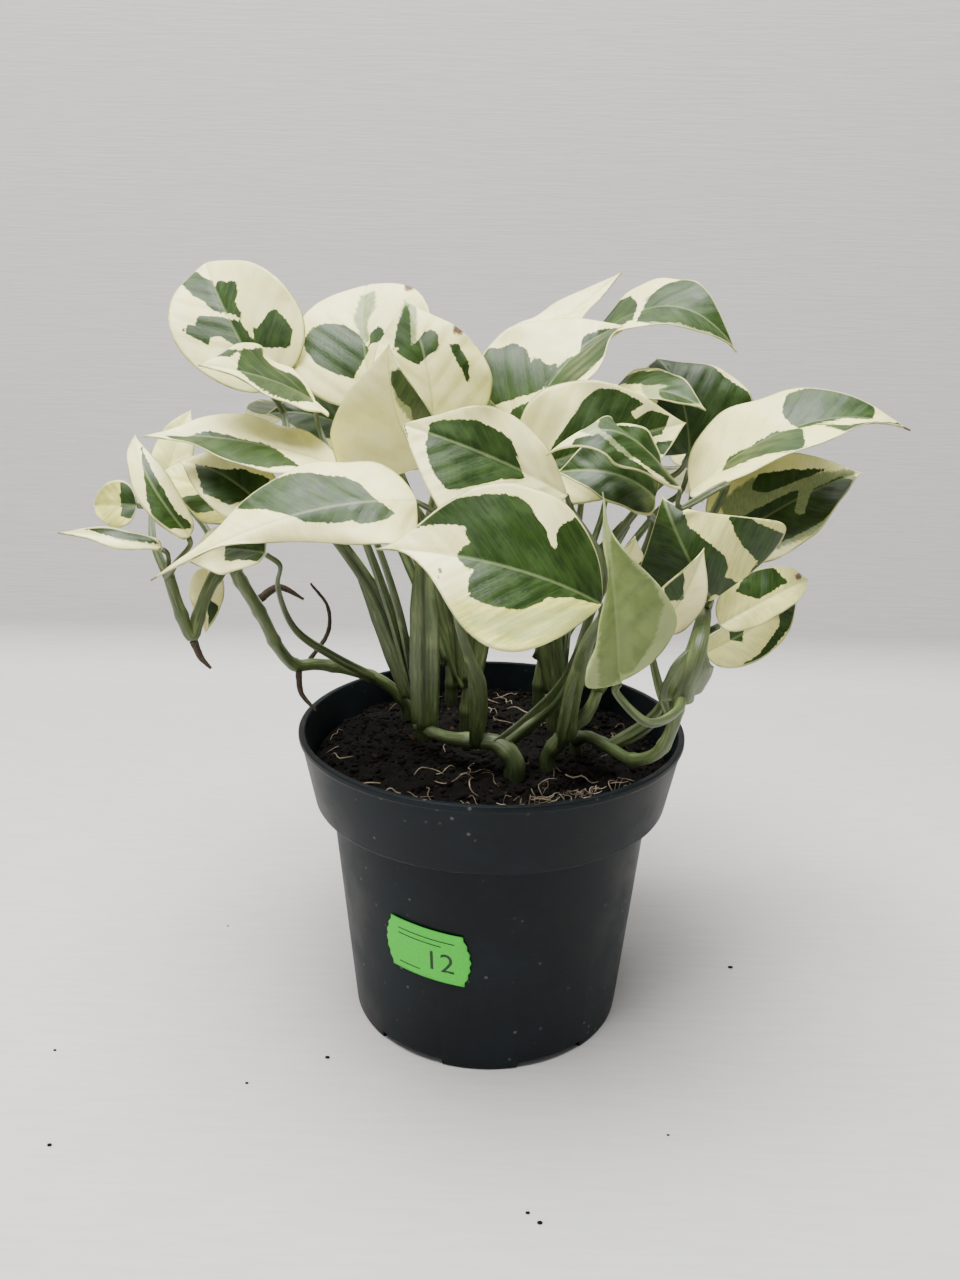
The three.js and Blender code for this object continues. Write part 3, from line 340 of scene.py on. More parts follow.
# Green patches of the leaves that the picture shows. Each is an outline: across and down for one corner
# after another, in pixels of the 960 by 1280 picture.
GREEN_PATCHES = {
    "leaf_front": [
        [372, 553, 380, 538, 390, 523, 400, 514, 412, 505, 425, 501, 450, 499, 485, 494, 505, 494,
         520, 498, 530, 507, 536, 520, 545, 530, 550, 545, 556, 550, 556, 530, 562, 525, 578, 517,
         590, 518, 600, 540, 606, 607, 580, 600, 545, 597, 543, 602, 518, 610, 490, 606, 468, 597,
         468, 580, 475, 570, 465, 568, 457, 560, 458, 553, 472, 541, 465, 537, 466, 531, 465, 526,
         430, 525, 415, 528, 400, 535, 385, 544],
    ],
    "leaf_over_front": [
        [430, 423, 440, 420, 455, 419, 475, 420, 490, 426, 500, 432, 510, 440, 515, 453, 520, 465,
         525, 480, 500, 480, 480, 485, 447, 493, 438, 483, 431, 470, 427, 455, 425, 443, 428, 435],
        [404, 419, 408, 435, 404, 462, 413, 493, 403, 470, 401, 440],
    ],
    "leaf_long_left": [
        [234, 510, 245, 498, 258, 487, 270, 481, 290, 476, 320, 475, 345, 478, 360, 485, 370, 495,
         385, 505, 395, 514, 385, 520, 365, 525, 352, 521, 338, 523, 300, 522, 298, 518, 268, 511],
    ],
    "leaf_long_upper_left": [
        [163, 436, 175, 437, 186, 438, 197, 434, 213, 432, 245, 440, 262, 443, 275, 449, 285, 458,
         300, 470, 280, 470, 255, 466, 230, 461, 220, 455, 205, 451, 183, 446],
    ],
    "leaf_behind_left": [[240, 390, 350, 390, 350, 440, 240, 440]],
    "leaf_top_left": [
        [179, 283, 181, 276, 186, 272, 197, 272, 203, 278, 213, 282, 215, 287, 218, 281, 226, 282,
         237, 281, 238, 297, 236, 302, 241, 313, 246, 321, 232, 314, 213, 311, 203, 302, 193, 296],
        [180, 331, 187, 329, 186, 325, 196, 325, 198, 317, 215, 317, 240, 321, 252, 338, 256, 347,
         240, 348, 220, 337, 210, 338, 209, 346, 190, 336],
        [252, 326, 259, 329, 262, 322, 268, 314, 275, 309, 287, 320, 293, 330, 291, 348, 257, 348],
    ],
    "leaf_upper_left": [
        [240, 350, 262, 350, 262, 358, 300, 380, 314, 404, 290, 404, 262, 388, 236, 370],
        [205, 356, 225, 349, 240, 352, 228, 358],
    ],
    "leaf_high_left": [
        [302, 341, 312, 328, 325, 324, 345, 325, 360, 337, 370, 350, 358, 370, 354, 380, 330, 372,
         315, 363, 306, 351],
        [370, 345, 370, 335, 380, 324, 385, 333, 385, 340],
    ],
    "leaf_high_middle": [
        [392, 350, 413, 345, 418, 340, 425, 332, 432, 330, 438, 335, 439, 345, 436, 352, 428, 355,
         418, 366, 405, 358],
        [405, 306, 397, 325, 394, 345, 405, 351, 411, 345, 409, 305],
        [448, 345, 458, 343, 468, 362, 470, 388, 460, 368],
    ],
    "leaf_pale_middle": [
        [414, 419, 413, 372, 428, 357, 436, 360, 441, 380, 449, 412, 449, 419],
        [392, 371, 400, 370, 414, 376, 414, 410, 400, 398, 391, 383],
    ],
    "leaf_high_right": [
        [480, 353, 487, 347, 500, 348, 514, 343, 527, 349, 530, 364, 537, 355, 549, 367, 547, 385,
         540, 391, 500, 404, 480, 416, 476, 380],
        [550, 372, 555, 361, 559, 368, 568, 358, 579, 355, 582, 338, 600, 330, 624, 328, 610, 348,
         590, 370, 575, 386, 545, 397],
        [501, 430, 512, 410, 538, 398, 530, 420, 513, 431],
    ],
    "leaf_back_point": [[476, 338, 480, 330, 513, 324, 505, 336]],
    "leaf_top_right": [
        [578, 327, 597, 306, 613, 302, 632, 297, 639, 305, 634, 319, 622, 326],
        [636, 322, 650, 299, 668, 284, 700, 270, 745, 290, 745, 370, 724, 370, 712, 334, 680, 324],
    ],
    "leaf_back_dark": [[640, 360, 685, 350, 760, 400, 760, 460, 650, 460, 660, 380]],
    "leaf_folded_right": [
        [592, 384, 620, 377, 657, 372, 700, 371, 703, 384, 650, 386],
        [659, 390, 685, 381, 702, 385, 702, 402, 680, 408, 659, 398],
    ],
    "leaf_mid_right": [
        [570, 420, 583, 400, 597, 389, 615, 389, 645, 404, 630, 412, 633, 420, 650, 410, 670, 416,
         662, 435, 645, 440, 600, 470, 540, 470, 556, 440],
        [655, 441, 672, 441, 668, 455, 656, 455],
    ],
    "leaf_arched_right": [
        [600, 418, 617, 420, 640, 430, 666, 456, 694, 490, 672, 486, 640, 464, 615, 440, 598, 428],
        [575, 438, 600, 434, 620, 452, 650, 474, 668, 492, 640, 482, 600, 462, 572, 446],
    ],
    "leaf_dark_right": [[545, 425, 690, 425, 690, 520, 600, 520, 552, 500]],
    "leaf_droop_right": [
        [640, 470, 662, 486, 681, 492, 683, 511, 689, 527, 707, 541, 724, 555, 728, 566, 725, 576,
         738, 582, 746, 578, 756, 562, 770, 560, 800, 566, 800, 590, 760, 599, 740, 596, 713, 594,
         700, 610, 620, 600, 630, 500],
        [728, 517, 742, 510, 756, 522, 800, 540, 800, 560, 767, 562, 756, 560, 744, 547, 737, 537],
    ],
    "leaf_low_right": [[740, 582, 757, 562, 772, 565, 786, 583, 757, 600, 735, 592]],
    "leaf_small_right": [
        [728, 626, 745, 618, 742, 642, 730, 640],
        [780, 596, 806, 588, 800, 616, 780, 640, 752, 670, 720, 684, 700, 678, 730, 672, 758, 654,
         778, 628],
    ],
    "leaf_far_right": [
        [782, 413, 786, 395, 805, 389, 840, 389, 868, 402, 875, 412, 872, 420, 845, 419, 818, 425,
         800, 430, 787, 422],
        [818, 425, 915, 422, 880, 434, 850, 430],
        [722, 472, 728, 458, 755, 444, 775, 432, 803, 430, 806, 447, 765, 457, 735, 470],
    ],
    "leaf_under_far_right": [
        [751, 490, 757, 475, 780, 471, 830, 468, 800, 480, 765, 494],
        [736, 520, 770, 502, 800, 488, 794, 512, 803, 516, 812, 490, 840, 476, 852, 482, 842, 506,
         800, 534, 768, 549, 748, 540],
    ],
    "leaf_left_crescent": [[140, 440, 146, 458, 158, 482, 176, 512, 196, 528, 160, 530, 146, 500]],
    "leaf_left_tiny": [[120, 480, 140, 480, 140, 520, 122, 518]],
    "leaf_left_dark": [[195, 464, 222, 470, 243, 469, 272, 480, 245, 500, 230, 505, 203, 494]],
    "leaf_far_left": [[75, 526, 110, 524, 150, 534, 165, 545, 120, 540]],
    "leaf_left_yellow": [[176, 500, 205, 492, 214, 512, 180, 512]],
    "leaf_left_low": [[225, 540, 305, 540, 305, 562, 225, 562]],
    "leaf_left_hanging": [[206, 596, 219, 606, 218, 640, 210, 640]],
    "leaf_inner_right": [[664, 560, 682, 552, 684, 600, 664, 600]],
}

# Green that is milky and greyed, as in the middle of some leaves, outlined in the same way
GREY_PATCHES = {
    "leaf_front": [[470, 530, 492, 500, 440, 500, 400, 512, 380, 536, 420, 520, 462, 522]],
    "leaf_high_left": [[353, 320, 361, 296, 376, 292, 376, 308, 368, 322, 370, 345, 362, 340]],
    "leaf_high_middle": [[405, 288, 418, 300, 416, 345, 398, 352, 398, 320]],
    "leaf_pale_middle": [[414, 372, 441, 360, 452, 420, 414, 422, 396, 400, 390, 372, 402, 366]],
    "leaf_top_right": [[646, 300, 700, 280, 728, 305, 722, 340, 650, 327]],
    "leaf_folded_right": [[640, 385, 706, 380, 706, 410, 650, 408]],
    "leaf_arched_right": [[566, 426, 590, 418, 640, 446, 632, 462, 600, 440]],
    "leaf_under_far_right": [[720, 500, 750, 480, 856, 468, 850, 520, 760, 556, 730, 540]],
    "leaf_new": [
        [598, 640, 606, 590, 612, 530, 620, 520, 634, 566, 654, 580, 664, 605, 655, 640, 632, 672,
         598, 690],
    ],
    "leaf_inner_pale": [[612, 480, 640, 480, 640, 522, 612, 522]],
}

# How warm the pale part of a leaf is: 0 is cool white cream, 1 is yellow, 2 is young pale green
WARMTH = {
    "leaf_new": 1.9, "leaf_left_tiny": 0.9, "leaf_left_yellow": 0.75, "leaf_left_pale": 0.5,
    "leaf_droop_right": 0.6, "leaf_folded_right": 0.5, "leaf_far_right": 0.3, "leaf_low_right": 0.6,
    "leaf_small_right": 0.45,
}

# Brown dried marks: each one's middle and radius in the picture, in pixels
DRY_SPOTS = {
    "leaf_front": [(440, 572, 4), (437, 578, 3)], "leaf_high_left": [(409, 287, 7)],
    "leaf_high_middle": [(458, 330, 8)], "leaf_long_left": [(153, 578, 5)],
    "leaf_far_right": [(908, 427, 7)], "leaf_over_front": [(408, 452, 4)],
    "leaf_low_right": [(797, 577, 5)],
}

# Parts of a cream area that are yellower and darker than the rest: partly a yellower tone, partly painted
# shade where the front leaf's lower belly faces away from the light
YELLOW_AND_SHADE_PATCHES = {
    "leaf_front": [[455, 602, 510, 604, 560, 599, 604, 604, 600, 640, 515, 650, 465, 632]],
}


def linear(red, green, blue):
    """A colour given as the eye names it, 0 to 255, in the linear values that the shader takes"""
    shares = [c / 255 for c in (red, green, blue)]
    return tuple(c / 12.92 if c < 0.04 else ((c + 0.055) / 1.055) ** 2.4 for c in shares) + (1,)


def unit(v):
    return v / np.linalg.norm(v, axis=-1, keepdims=True)


# Node materials

class Shader:
    """A node material, with short calls for the nodes that the surfaces here need"""

    def __init__(self, name, **constants):
        self.material = bpy.data.materials.new(name)
        self.material.use_nodes = True
        self.tree = self.material.node_tree
        self.surface = self.tree.nodes["Principled BSDF"]
        for socket, value in constants.items():
            self.surface.inputs[socket.replace("_", " ")].default_value = value

    def put(self, source, socket):
        self.tree.links.new(source, self.surface.inputs[socket])

    def feed(self, node, socket, value):
        if isinstance(value, bpy.types.NodeSocket):
            self.tree.links.new(value, node.inputs[socket])
        elif value is not None:
            node.inputs[socket].default_value = value

    def math(self, operation, a, b=None):
        node = self.tree.nodes.new("ShaderNodeMath")
        node.operation = operation
        self.feed(node, 0, a)
        self.feed(node, 1, b)
        return node.outputs[0]

    def times(self, a, b):
        return self.math("MULTIPLY", a, b)

    def plus(self, a, b):
        return self.math("ADD", a, b)

    def less(self, a, b):
        return self.math("SUBTRACT", a, b)

    def attribute(self, name):
        node = self.tree.nodes.new("ShaderNodeAttribute")
        node.attribute_name = name
        return node

    def split(self, vector):
        node = self.tree.nodes.new("ShaderNodeSeparateXYZ")
        self.feed(node, 0, vector)
        return node.outputs

    def join(self, x, y, z):
        node = self.tree.nodes.new("ShaderNodeCombineXYZ")
        for index, value in enumerate((x, y, z)):
            self.feed(node, index, value)
        return node.outputs[0]

    def place(self):
        return self.tree.nodes.new("ShaderNodeTexCoord").outputs["Object"]

    def scaled(self, vector, scale):
        node = self.tree.nodes.new("ShaderNodeVectorMath")
        node.operation = "MULTIPLY"
        self.feed(node, 0, vector)
        self.feed(node, 1, scale)
        return node.outputs[0]

    def noise(self, vector, scale, detail=3, roughness=0.5):
        node = self.tree.nodes.new("ShaderNodeTexNoise")
        self.feed(node, "Vector", vector)
        self.feed(node, "Scale", scale)
        self.feed(node, "Detail", detail)
        self.feed(node, "Roughness", roughness)
        return node.outputs["Fac"]

    def cells(self, vector, scale):
        node = self.tree.nodes.new("ShaderNodeTexVoronoi")
        self.feed(node, "Vector", vector)
        self.feed(node, "Scale", scale)
        return node.outputs["Distance"]

    def paint(self, value, low, high, a, b):
        """Colours the surface from a to b as a value goes from low to high"""
        self.put(self.mix(self.ramp(value, low, high), a, b), "Base Color")

    def ramp(self, value, low, high, to_low=0.0, to_high=1.0):
        node = self.tree.nodes.new("ShaderNodeMapRange")
        node.interpolation_type = "SMOOTHSTEP"
        sockets = ("Value", "From Min", "From Max", "To Min", "To Max")
        for socket, given in zip(sockets, (value, low, high, to_low, to_high)):
            self.feed(node, socket, given)
        return node.outputs[0]

    def mix(self, share, a, b):
        """Between two colours, each from a node or given as the eye names it"""
        node = self.tree.nodes.new("ShaderNodeMix")
        node.data_type = "RGBA"
        self.feed(node, 0, share)
        for index, colour in ((6, a), (7, b)):
            self.feed(node, index, linear(*colour) if isinstance(colour, tuple) else colour)
        return node.outputs[2]

    def bump(self, height, distance, strength=1.0):
        node = self.tree.nodes.new("ShaderNodeBump")
        self.feed(node, "Strength", strength)
        self.feed(node, "Distance", distance)
        self.feed(node, "Height", height)
        self.put(node.outputs[0], "Normal")


def leaf_material():
    """Cream, greyed green and green by the leaf meshes' own fields, with a pale midrib, and a pale margin
    that is partly painted highlight
    """
    s = Shader("leaf_blade", Subsurface_Weight=0.15, Subsurface_Scale=0.0012, Specular_IOR_Level=0.32)
    s.surface.inputs["Subsurface Radius"].default_value = (1.0, 1.0, 0.5)
    along, across, margin = s.split(s.attribute("place").outputs["Vector"])
    green_depth, grey_depth, warmth_and_belly_shade = s.split(s.attribute("tint").outputs["Vector"])
    under, dry, _ = s.split(s.attribute("state").outputs["Vector"])
    young_and_belly_shade = s.ramp(warmth_and_belly_shade, 1.0, 2.0)
    seed = s.attribute("seed").outputs["Fac"]
    reach = s.math("ABSOLUTE", across)
    vein = s.less(along, s.times(reach, VEIN_LEAN))
    streak_place = s.join(vein, s.times(across, 0.3), seed)
    streaks = s.noise(streak_place, 0.9, 4, 0.6)
    fine_streaks = s.noise(streak_place, 2.6, 3, 0.6)
    surface_place = s.join(along, across, seed)
    clouds = s.noise(surface_place, 0.16, 3, 0.55)
    flecks = s.noise(surface_place, 1.7, 4, 0.65)

    jagged = s.times(s.less(streaks, 0.5), 1.5)
    edge = s.plus(jagged, s.times(s.less(flecks, 0.5), 0.45))
    green_share = s.ramp(s.plus(green_depth, edge), -0.12, 0.12)
    grey_share = s.ramp(s.plus(grey_depth, s.times(edge, 1.6)), -0.5, 0.5, 0.0, 0.85)

    cool = s.mix(s.ramp(clouds, 0.3, 0.7), (246, 240, 178), (234, 228, 152))
    warm = s.mix(s.ramp(streaks, 0.3, 0.7), (222, 214, 112), (170, 178, 84))
    cream = s.mix(warmth_and_belly_shade, cool, warm)
    speckle = s.ramp(s.times(flecks, fine_streaks), 0.30, 0.42, 0.0, 0.25)
    cream = s.mix(speckle, cream, (186, 194, 140))
    grey = s.mix(s.ramp(fine_streaks, 0.35, 0.65), (74, 98, 58), (112, 130, 88))
    grey = s.mix(s.times(warmth_and_belly_shade, 0.7), grey, (150, 166, 98))
    # Young pale green for new leaves; on the front leaf's lower belly this is partly painted shade
    cream = s.mix(young_and_belly_shade, cream, (140, 152, 100))
    fresh = s.mix(s.ramp(clouds, 0.35, 0.65), (84, 102, 42), (108, 124, 66))
    grey = s.mix(young_and_belly_shade, grey, fresh)
    deep = s.mix(s.ramp(streaks, 0.32, 0.68), (26, 46, 8), (42, 66, 14))
    green = s.mix(s.ramp(clouds, 0.45, 0.72, 0.0, 0.45), deep, (62, 88, 34))
    colour = s.mix(green_share, s.mix(grey_share, cream, grey), green)

    drift = s.plus(vein, s.times(clouds, 2.0))
    phase = s.math("FRACT", s.math("DIVIDE", drift, VEIN_SPACING))
    ridge = s.math("ABSOLUTE", s.less(phase, 0.5))
    vein_line = s.ramp(ridge, 0.05, 0.0)
    colour = s.mix(s.times(vein_line, 0.1), colour, (132, 150, 96))
    rib = s.ramp(reach, RIB_HALF_WIDTH, RIB_HALF_WIDTH * 0.3, 0.0, 0.3)
    colour = s.mix(rib, colour, (150, 164, 110))
    # A pale line along every margin: partly the leaf's own pale edge, partly a painted highlight where
    # light catches the thin edge
    rim = s.ramp(margin, 0.7, 0.3, 0.0, 0.8)
    colour = s.mix(rim, colour, s.mix(young_and_belly_shade, (208, 206, 140), (150, 162, 100)))
    thread = s.times(s.ramp(margin, 0.3, 0.1), s.ramp(clouds, 0.4, 0.6, 0.0, 0.8))
    colour = s.mix(thread, colour, (88, 104, 56))
    colour = s.mix(s.times(under, 0.35), colour, (138, 150, 112))
    ragged = s.times(s.less(flecks, 0.5), 1.2)
    brown = s.mix(s.ramp(flecks, 0.4, 0.6), (58, 40, 24), (120, 96, 58))
    colour = s.mix(s.ramp(s.plus(dry, ragged), 0.1, 0.5), colour, brown)
    s.put(colour, "Base Color")
    s.put(s.ramp(clouds, 0.3, 0.7, 0.4, 0.54), "Roughness")
    height = s.plus(s.times(ridge, 0.5), s.times(fine_streaks, 0.35))
    s.bump(height, 0.00035, 0.5)
    return s.material


def stalk_material():
    """Pale green stalks with long streaks, with painted shade in the groove, along the sides and low down
    near the soil
    """
    s = Shader("leaf_stalk", Roughness=0.42, Subsurface_Weight=0.1, Subsurface_Scale=0.001)
    run, turn, groove = s.split(s.attribute("place").outputs["Vector"])
    streak_place = s.join(s.times(run, 0.05), s.times(turn, 1.6), 0.0)
    streaks = s.noise(streak_place, 2.0, 4, 0.6)
    blotches = s.noise(s.join(s.times(run, 0.2), turn, 4.0), 0.6, 3, 0.5)
    base = s.mix(s.ramp(streaks, 0.3, 0.7), (58, 74, 36), (100, 114, 68))
    base = s.mix(s.ramp(blotches, 0.45, 0.75, 0.0, 0.5), base, (148, 158, 104))
    # Painted shade: darker in the groove and along the sides, by the mask the tubes carry
    base = s.mix(s.times(groove, 0.8), base, (34, 48, 20))
    # Painted shade: darker low down, from 108 mm to strongest at 88 mm, where the stalks stand under the
    # leaves
    height = s.split(s.place())[2]
    base = s.mix(s.ramp(height, 0.108, 0.088, 0.0, 0.8), base, (34, 44, 22))
    s.put(base, "Base Color")
    s.bump(streaks, 0.0004, 0.6)
    return s.material


def root_material():
    s = Shader("air_root", Roughness=0.85)
    run, turn, _ = s.split(s.attribute("place").outputs["Vector"])
    grain = s.noise(s.join(s.times(run, 0.8), turn, 0.0), 1.8, 5, 0.7)
    s.paint(grain, 0.3, 0.7, (44, 34, 28), (96, 80, 62))
    s.bump(grain, 0.0006)
    return s.material


def pot_material():
    """Satin black plastic with turned rings, a faint grain and dust"""
    s = Shader("pot_plastic", Roughness=0.45, Specular_IOR_Level=0.14)
    place = s.place()
    rings = s.noise(s.join(0.0, 0.0, s.split(place)[2]), 900, 3, 0.6)
    grain = s.noise(place, 2600, 2, 0.5)
    dust = s.noise(place, 42, 5, 0.65)
    specks = s.cells(place, 230)
    speck_share = s.times(s.ramp(specks, 0.16, 0.08), s.ramp(dust, 0.5, 0.62))
    colour = s.mix(s.ramp(dust, 0.38, 0.72), (12, 17, 20), (21, 29, 33))
    colour = s.mix(s.times(speck_share, 0.5), colour, (116, 108, 96))
    s.put(colour, "Base Color")
    s.put(s.ramp(dust, 0.35, 0.7, 0.42, 0.56), "Roughness")
    s.bump(s.plus(s.times(rings, 0.6), s.times(grain, 0.25)), 0.00012, 0.7)
    return s.material


def soil_material():
    """Damp peat: near black, with browner crumbs"""
    s = Shader("potting_soil", Roughness=0.92, Specular_IOR_Level=0.15)
    place = s.place()
    tone = s.attribute("tone").outputs["Fac"]
    grain = s.noise(place, 900, 5, 0.7)
    colour = s.mix(s.ramp(grain, 0.3, 0.7), (6, 6, 5), (22, 18, 15))
    colour = s.mix(s.ramp(tone, 0.8, 1.0), colour, (74, 56, 40))
    s.put(colour, "Base Color")
    s.bump(grain, 0.0008)
    return s.material


def fibre_material():
    s = Shader("root_fibre", Roughness=0.8)
    tone = s.noise(s.place(), 120, 3, 0.6)
    s.paint(tone, 0.3, 0.7, (78, 64, 50), (176, 160, 136))
    return s.material


def label_material():
    s = Shader("label_paper", Roughness=0.55)
    fibre = s.noise(s.place(), 1800, 4, 0.6)
    s.paint(fibre, 0.3, 0.7, (48, 196, 34), (62, 206, 46))
    s.bump(fibre, 0.00005)
    return s.material


def print_material():
    s = Shader("label_ink", Roughness=0.6)
    worn = s.noise(s.place(), 2200, 3, 0.6)
    s.paint(worn, 0.5, 0.75, (22, 34, 22), (44, 84, 40))
    return s.material


def floor_material():
    """A pale woven sheet, with its threads running across"""
    s = Shader("pale_sheet", Roughness=0.85)
    place = s.place()
    threads = s.noise(s.scaled(place, (6.0, 60.0, 160.0)), 7, 4, 0.6)
    s.paint(threads, 0.3, 0.7, (178, 176, 173), (184, 182, 180))
    s.bump(threads, 0.0003, 0.4)
    nodes, links = s.material.node_tree.nodes, s.material.node_tree.links
    side = nodes.new("ShaderNodeNewGeometry")
    clear = nodes.new("ShaderNodeBsdfTransparent")
    either = nodes.new("ShaderNodeMixShader")
    links.new(side.outputs["Backfacing"], either.inputs[0])
    links.new(s.surface.outputs[0], either.inputs[1])
    links.new(clear.outputs[0], either.inputs[2])
    links.new(either.outputs[0], nodes["Material Output"].inputs["Surface"])
    return s.material


# Meshes

def placed(name, data):
    """A new object in the scene"""
    thing = bpy.data.objects.new(name, data)
    bpy.context.scene.collection.objects.link(thing)
    return thing


def ring_faces(rings, sides):
    """Faces of a tube of rings. Its two end points come after the rings."""
    start = rings * sides
    last = start - sides
    faces = []
    for k in range(sides):
        n = (k + 1) % sides
        faces.extend((i + k, i + n, i + sides + n, i + sides + k) for i in range(0, last, sides))
        faces.append((start, n, k))
        faces.append((start + 1, last + k, last + n))
    return faces


def piece(name, points, faces, material, node=None, slot_name=None, values=None):
    """A smooth mesh piece from points in metres, with the values that its material reads at each point"""
    mesh = bpy.data.meshes.new(name)
    mesh.from_pydata([tuple(p) for p in points], [], [tuple(f) for f in faces])
    for key, column in (values or {}).items():
        column = np.asarray(column, float)
        kind = "FLOAT" if column.ndim == 1 else "FLOAT_VECTOR"
        field = "value" if column.ndim == 1 else "vector"
        mesh.attributes.new(key, kind, "POINT").data.foreach_set(field, column.ravel())
    mesh.shade_smooth()
    mesh.materials.append(material)
    thing = placed(name, mesh)
    if slot_name:
        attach(thing, "root")
    if node:
        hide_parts(node)
    return thing


# Leaf blades

def midrib_frame(leaf, x):
    """Place, tangent, normal and side of the midrib at shares x of the way from base to tip"""
    x = np.asarray(x, float)[..., None]
    base = np.array(leaf["base"], float)
    run = np.array(leaf["tip"], float) - base
    along = unit(run)
    up = np.array(leaf["face"], float)
    up = unit(up - along * (up @ along))
    side = np.cross(along, up)

    def place(t):
        hump = 4 * t * (1 - t) * (1 + leaf["skew"] * (2 * t - 1))
        return base + run * t + up * (leaf["arch"] * hump) + side * (leaf["sweep"] * 4 * t * (1 - t))

    tangent = unit(place(x + 0.01) - place(x - 0.01))
    normal = unit(up - tangent * (tangent @ up)[..., None])
    return place(x), tangent, normal, np.cross(tangent, normal)


def half_share(shares, u):
    """A smooth run through the three shares of one half of a blade"""
    total = 0
    for share, station in zip(shares, SHARE_STATIONS):
        for other in SHARE_STATIONS:
            if other != station:
                share = share * (u - other) / (station - other)
        total = total + share
    return np.maximum(total, LEAST_SHARE)


def half_width(leaf, u, v):
    return leaf["width"] / 2 * np.where(v < 0, half_share(leaf["left"], u), half_share(leaf["right"], u))


def half_outline(leaf, u):
    rise = np.sin(np.pi * np.clip(u, 0, 1) ** leaf["belly"]).clip(0)
    return rise ** (BLADE_SHARPNESS + leaf["taper"] * u)


def blade_point(leaf, u, v):
    """The blade's middle surface: u runs from base to tip, v from margin to margin"""
    reach = np.abs(v)
    outline = half_outline(leaf, u)
    backward = leaf["lobe"] * LOBE_PEAK * u * (1 - u) ** 2 * reach ** LOBE_POWER
    origin, _, normal, side = midrib_frame(leaf, u - backward)
    across = half_width(leaf, u, v) * outline * v
    fold = np.radians(leaf["fold"] + np.where(v < 0, leaf["split"], -leaf["split"]))
    late = np.where(v > 0, HALVES_OUT_OF_STEP, 0)
    ripple = np.sin(2 * np.pi * WAVE_TURNS * u + late)
    lift = np.abs(across) * np.sin(fold) + leaf["wave"] * ripple * outline * reach ** 2
    return origin + side * (across * np.cos(fold))[..., None] + normal * lift[..., None]


def blade_normal(leaf, u, v):
    step = 0.02
    a = np.clip(u, 0.05, 0.95)
    b = np.clip(v, -1 + step, 1 - step)
    along_u = blade_point(leaf, a + step, b) - blade_point(leaf, a - step, b)
    along_v = blade_point(leaf, a, b + step) - blade_point(leaf, a, b - step)
    return unit(np.cross(along_v, along_u))


def picture_place(points):
    """Where points in millimetres come in the 960 by 1280 picture"""
    view = points - CAMERA_PLACE
    depth = view @ CAMERA_FORWARD
    x = PICTURE_WIDTH / 2 + FOCAL * (view @ CAMERA_RIGHT) / depth
    y = PICTURE_HEIGHT / 2 - FOCAL * (view @ CAMERA_UP) / depth
    return np.stack([x, y], -1), FOCAL / depth


def depth_inside(spots, outline):
    """Distance to an outline, positive inside it"""
    corners = np.array(outline, float).reshape(-1, 2)
    nearest = np.full(len(spots), 1e9)
    inside = np.zeros(len(spots), bool)
    for a, b in zip(corners, np.roll(corners, -1, 0)):
        run = b - a
        share = np.clip(((spots - a) @ run) / (run @ run), 0, 1)[:, None]
        nearest = np.minimum(nearest, np.linalg.norm(spots - a - share * run, axis=1))
        crosses = (a[1] > spots[:, 1]) != (b[1] > spots[:, 1])
        level = np.where(abs(run[1]) < 1e-9, 1e-9, run[1])
        inside ^= crosses & (spots[:, 0] < a[0] + (spots[:, 1] - a[1]) * run[0] / level)
    return np.where(inside, nearest, -nearest)


def outlined_depth(outlines, spots, scale):
    depth = np.full(len(spots), FAR_OUTSIDE)
    for outline in outlines:
        depth = np.maximum(depth, depth_inside(spots, outline) / scale)
    return depth


def scattered_depth(along, across, length, half_width, chance):
    """Green patches for a leaf that the picture doesn't show: long blots that lie along the side veins"""
    depth = np.full(len(along), FAR_OUTSIDE)
    vein = along - VEIN_LEAN * np.abs(across)
    for half in (-1, 1):
        for _ in range(chance.randint(2, 3)):
            start = chance.uniform(-0.15, 0.7) * length
            out = chance.uniform(0.05, 0.6) * half_width
            long = chance.uniform(0.35, 0.75) * half_width
            wide = chance.uniform(0.1, 0.2) * length
            blot = np.hypot((across * half - out) / long, (vein - start) / wide)
            depth = np.maximum(depth, (1 - blot) * min(long, wide))
    return depth


def dried(marks, spots):
    """1 in the middle of a dried mark, 0 at its edge and less outside"""
    share = np.full(len(spots), -4.0)
    for x, y, radius in marks:
        share = np.maximum(share, 1 - np.linalg.norm(spots - np.array([x, y]), axis=1) / radius)
    return share


def ruffle(leaf, u, v, chance):
    """Small waves of the margin and a slow unevenness of the blade, over the solids' own waves"""
    size = min(leaf["width"] / FULL_RUFFLE_WIDTH, 1)
    waves = 0
    for turns, height in ((2.2, 0.8), (4.1, 0.45)):
        early, late = chance.uniform(0, 6.3), chance.uniform(0, 6.3)
        waves = waves + height * np.sin(2 * np.pi * turns * u + np.where(v < 0, early, late))
    slow = 0.5 * np.sin(2 * np.pi * (1.3 * u + 0.35 * v) + chance.uniform(0, 6.3))
    slow = slow * np.minimum(np.abs(v) * 2, 1)
    return size * np.sin(np.pi * u) * (waves * np.abs(v) ** 2.5 + slow)


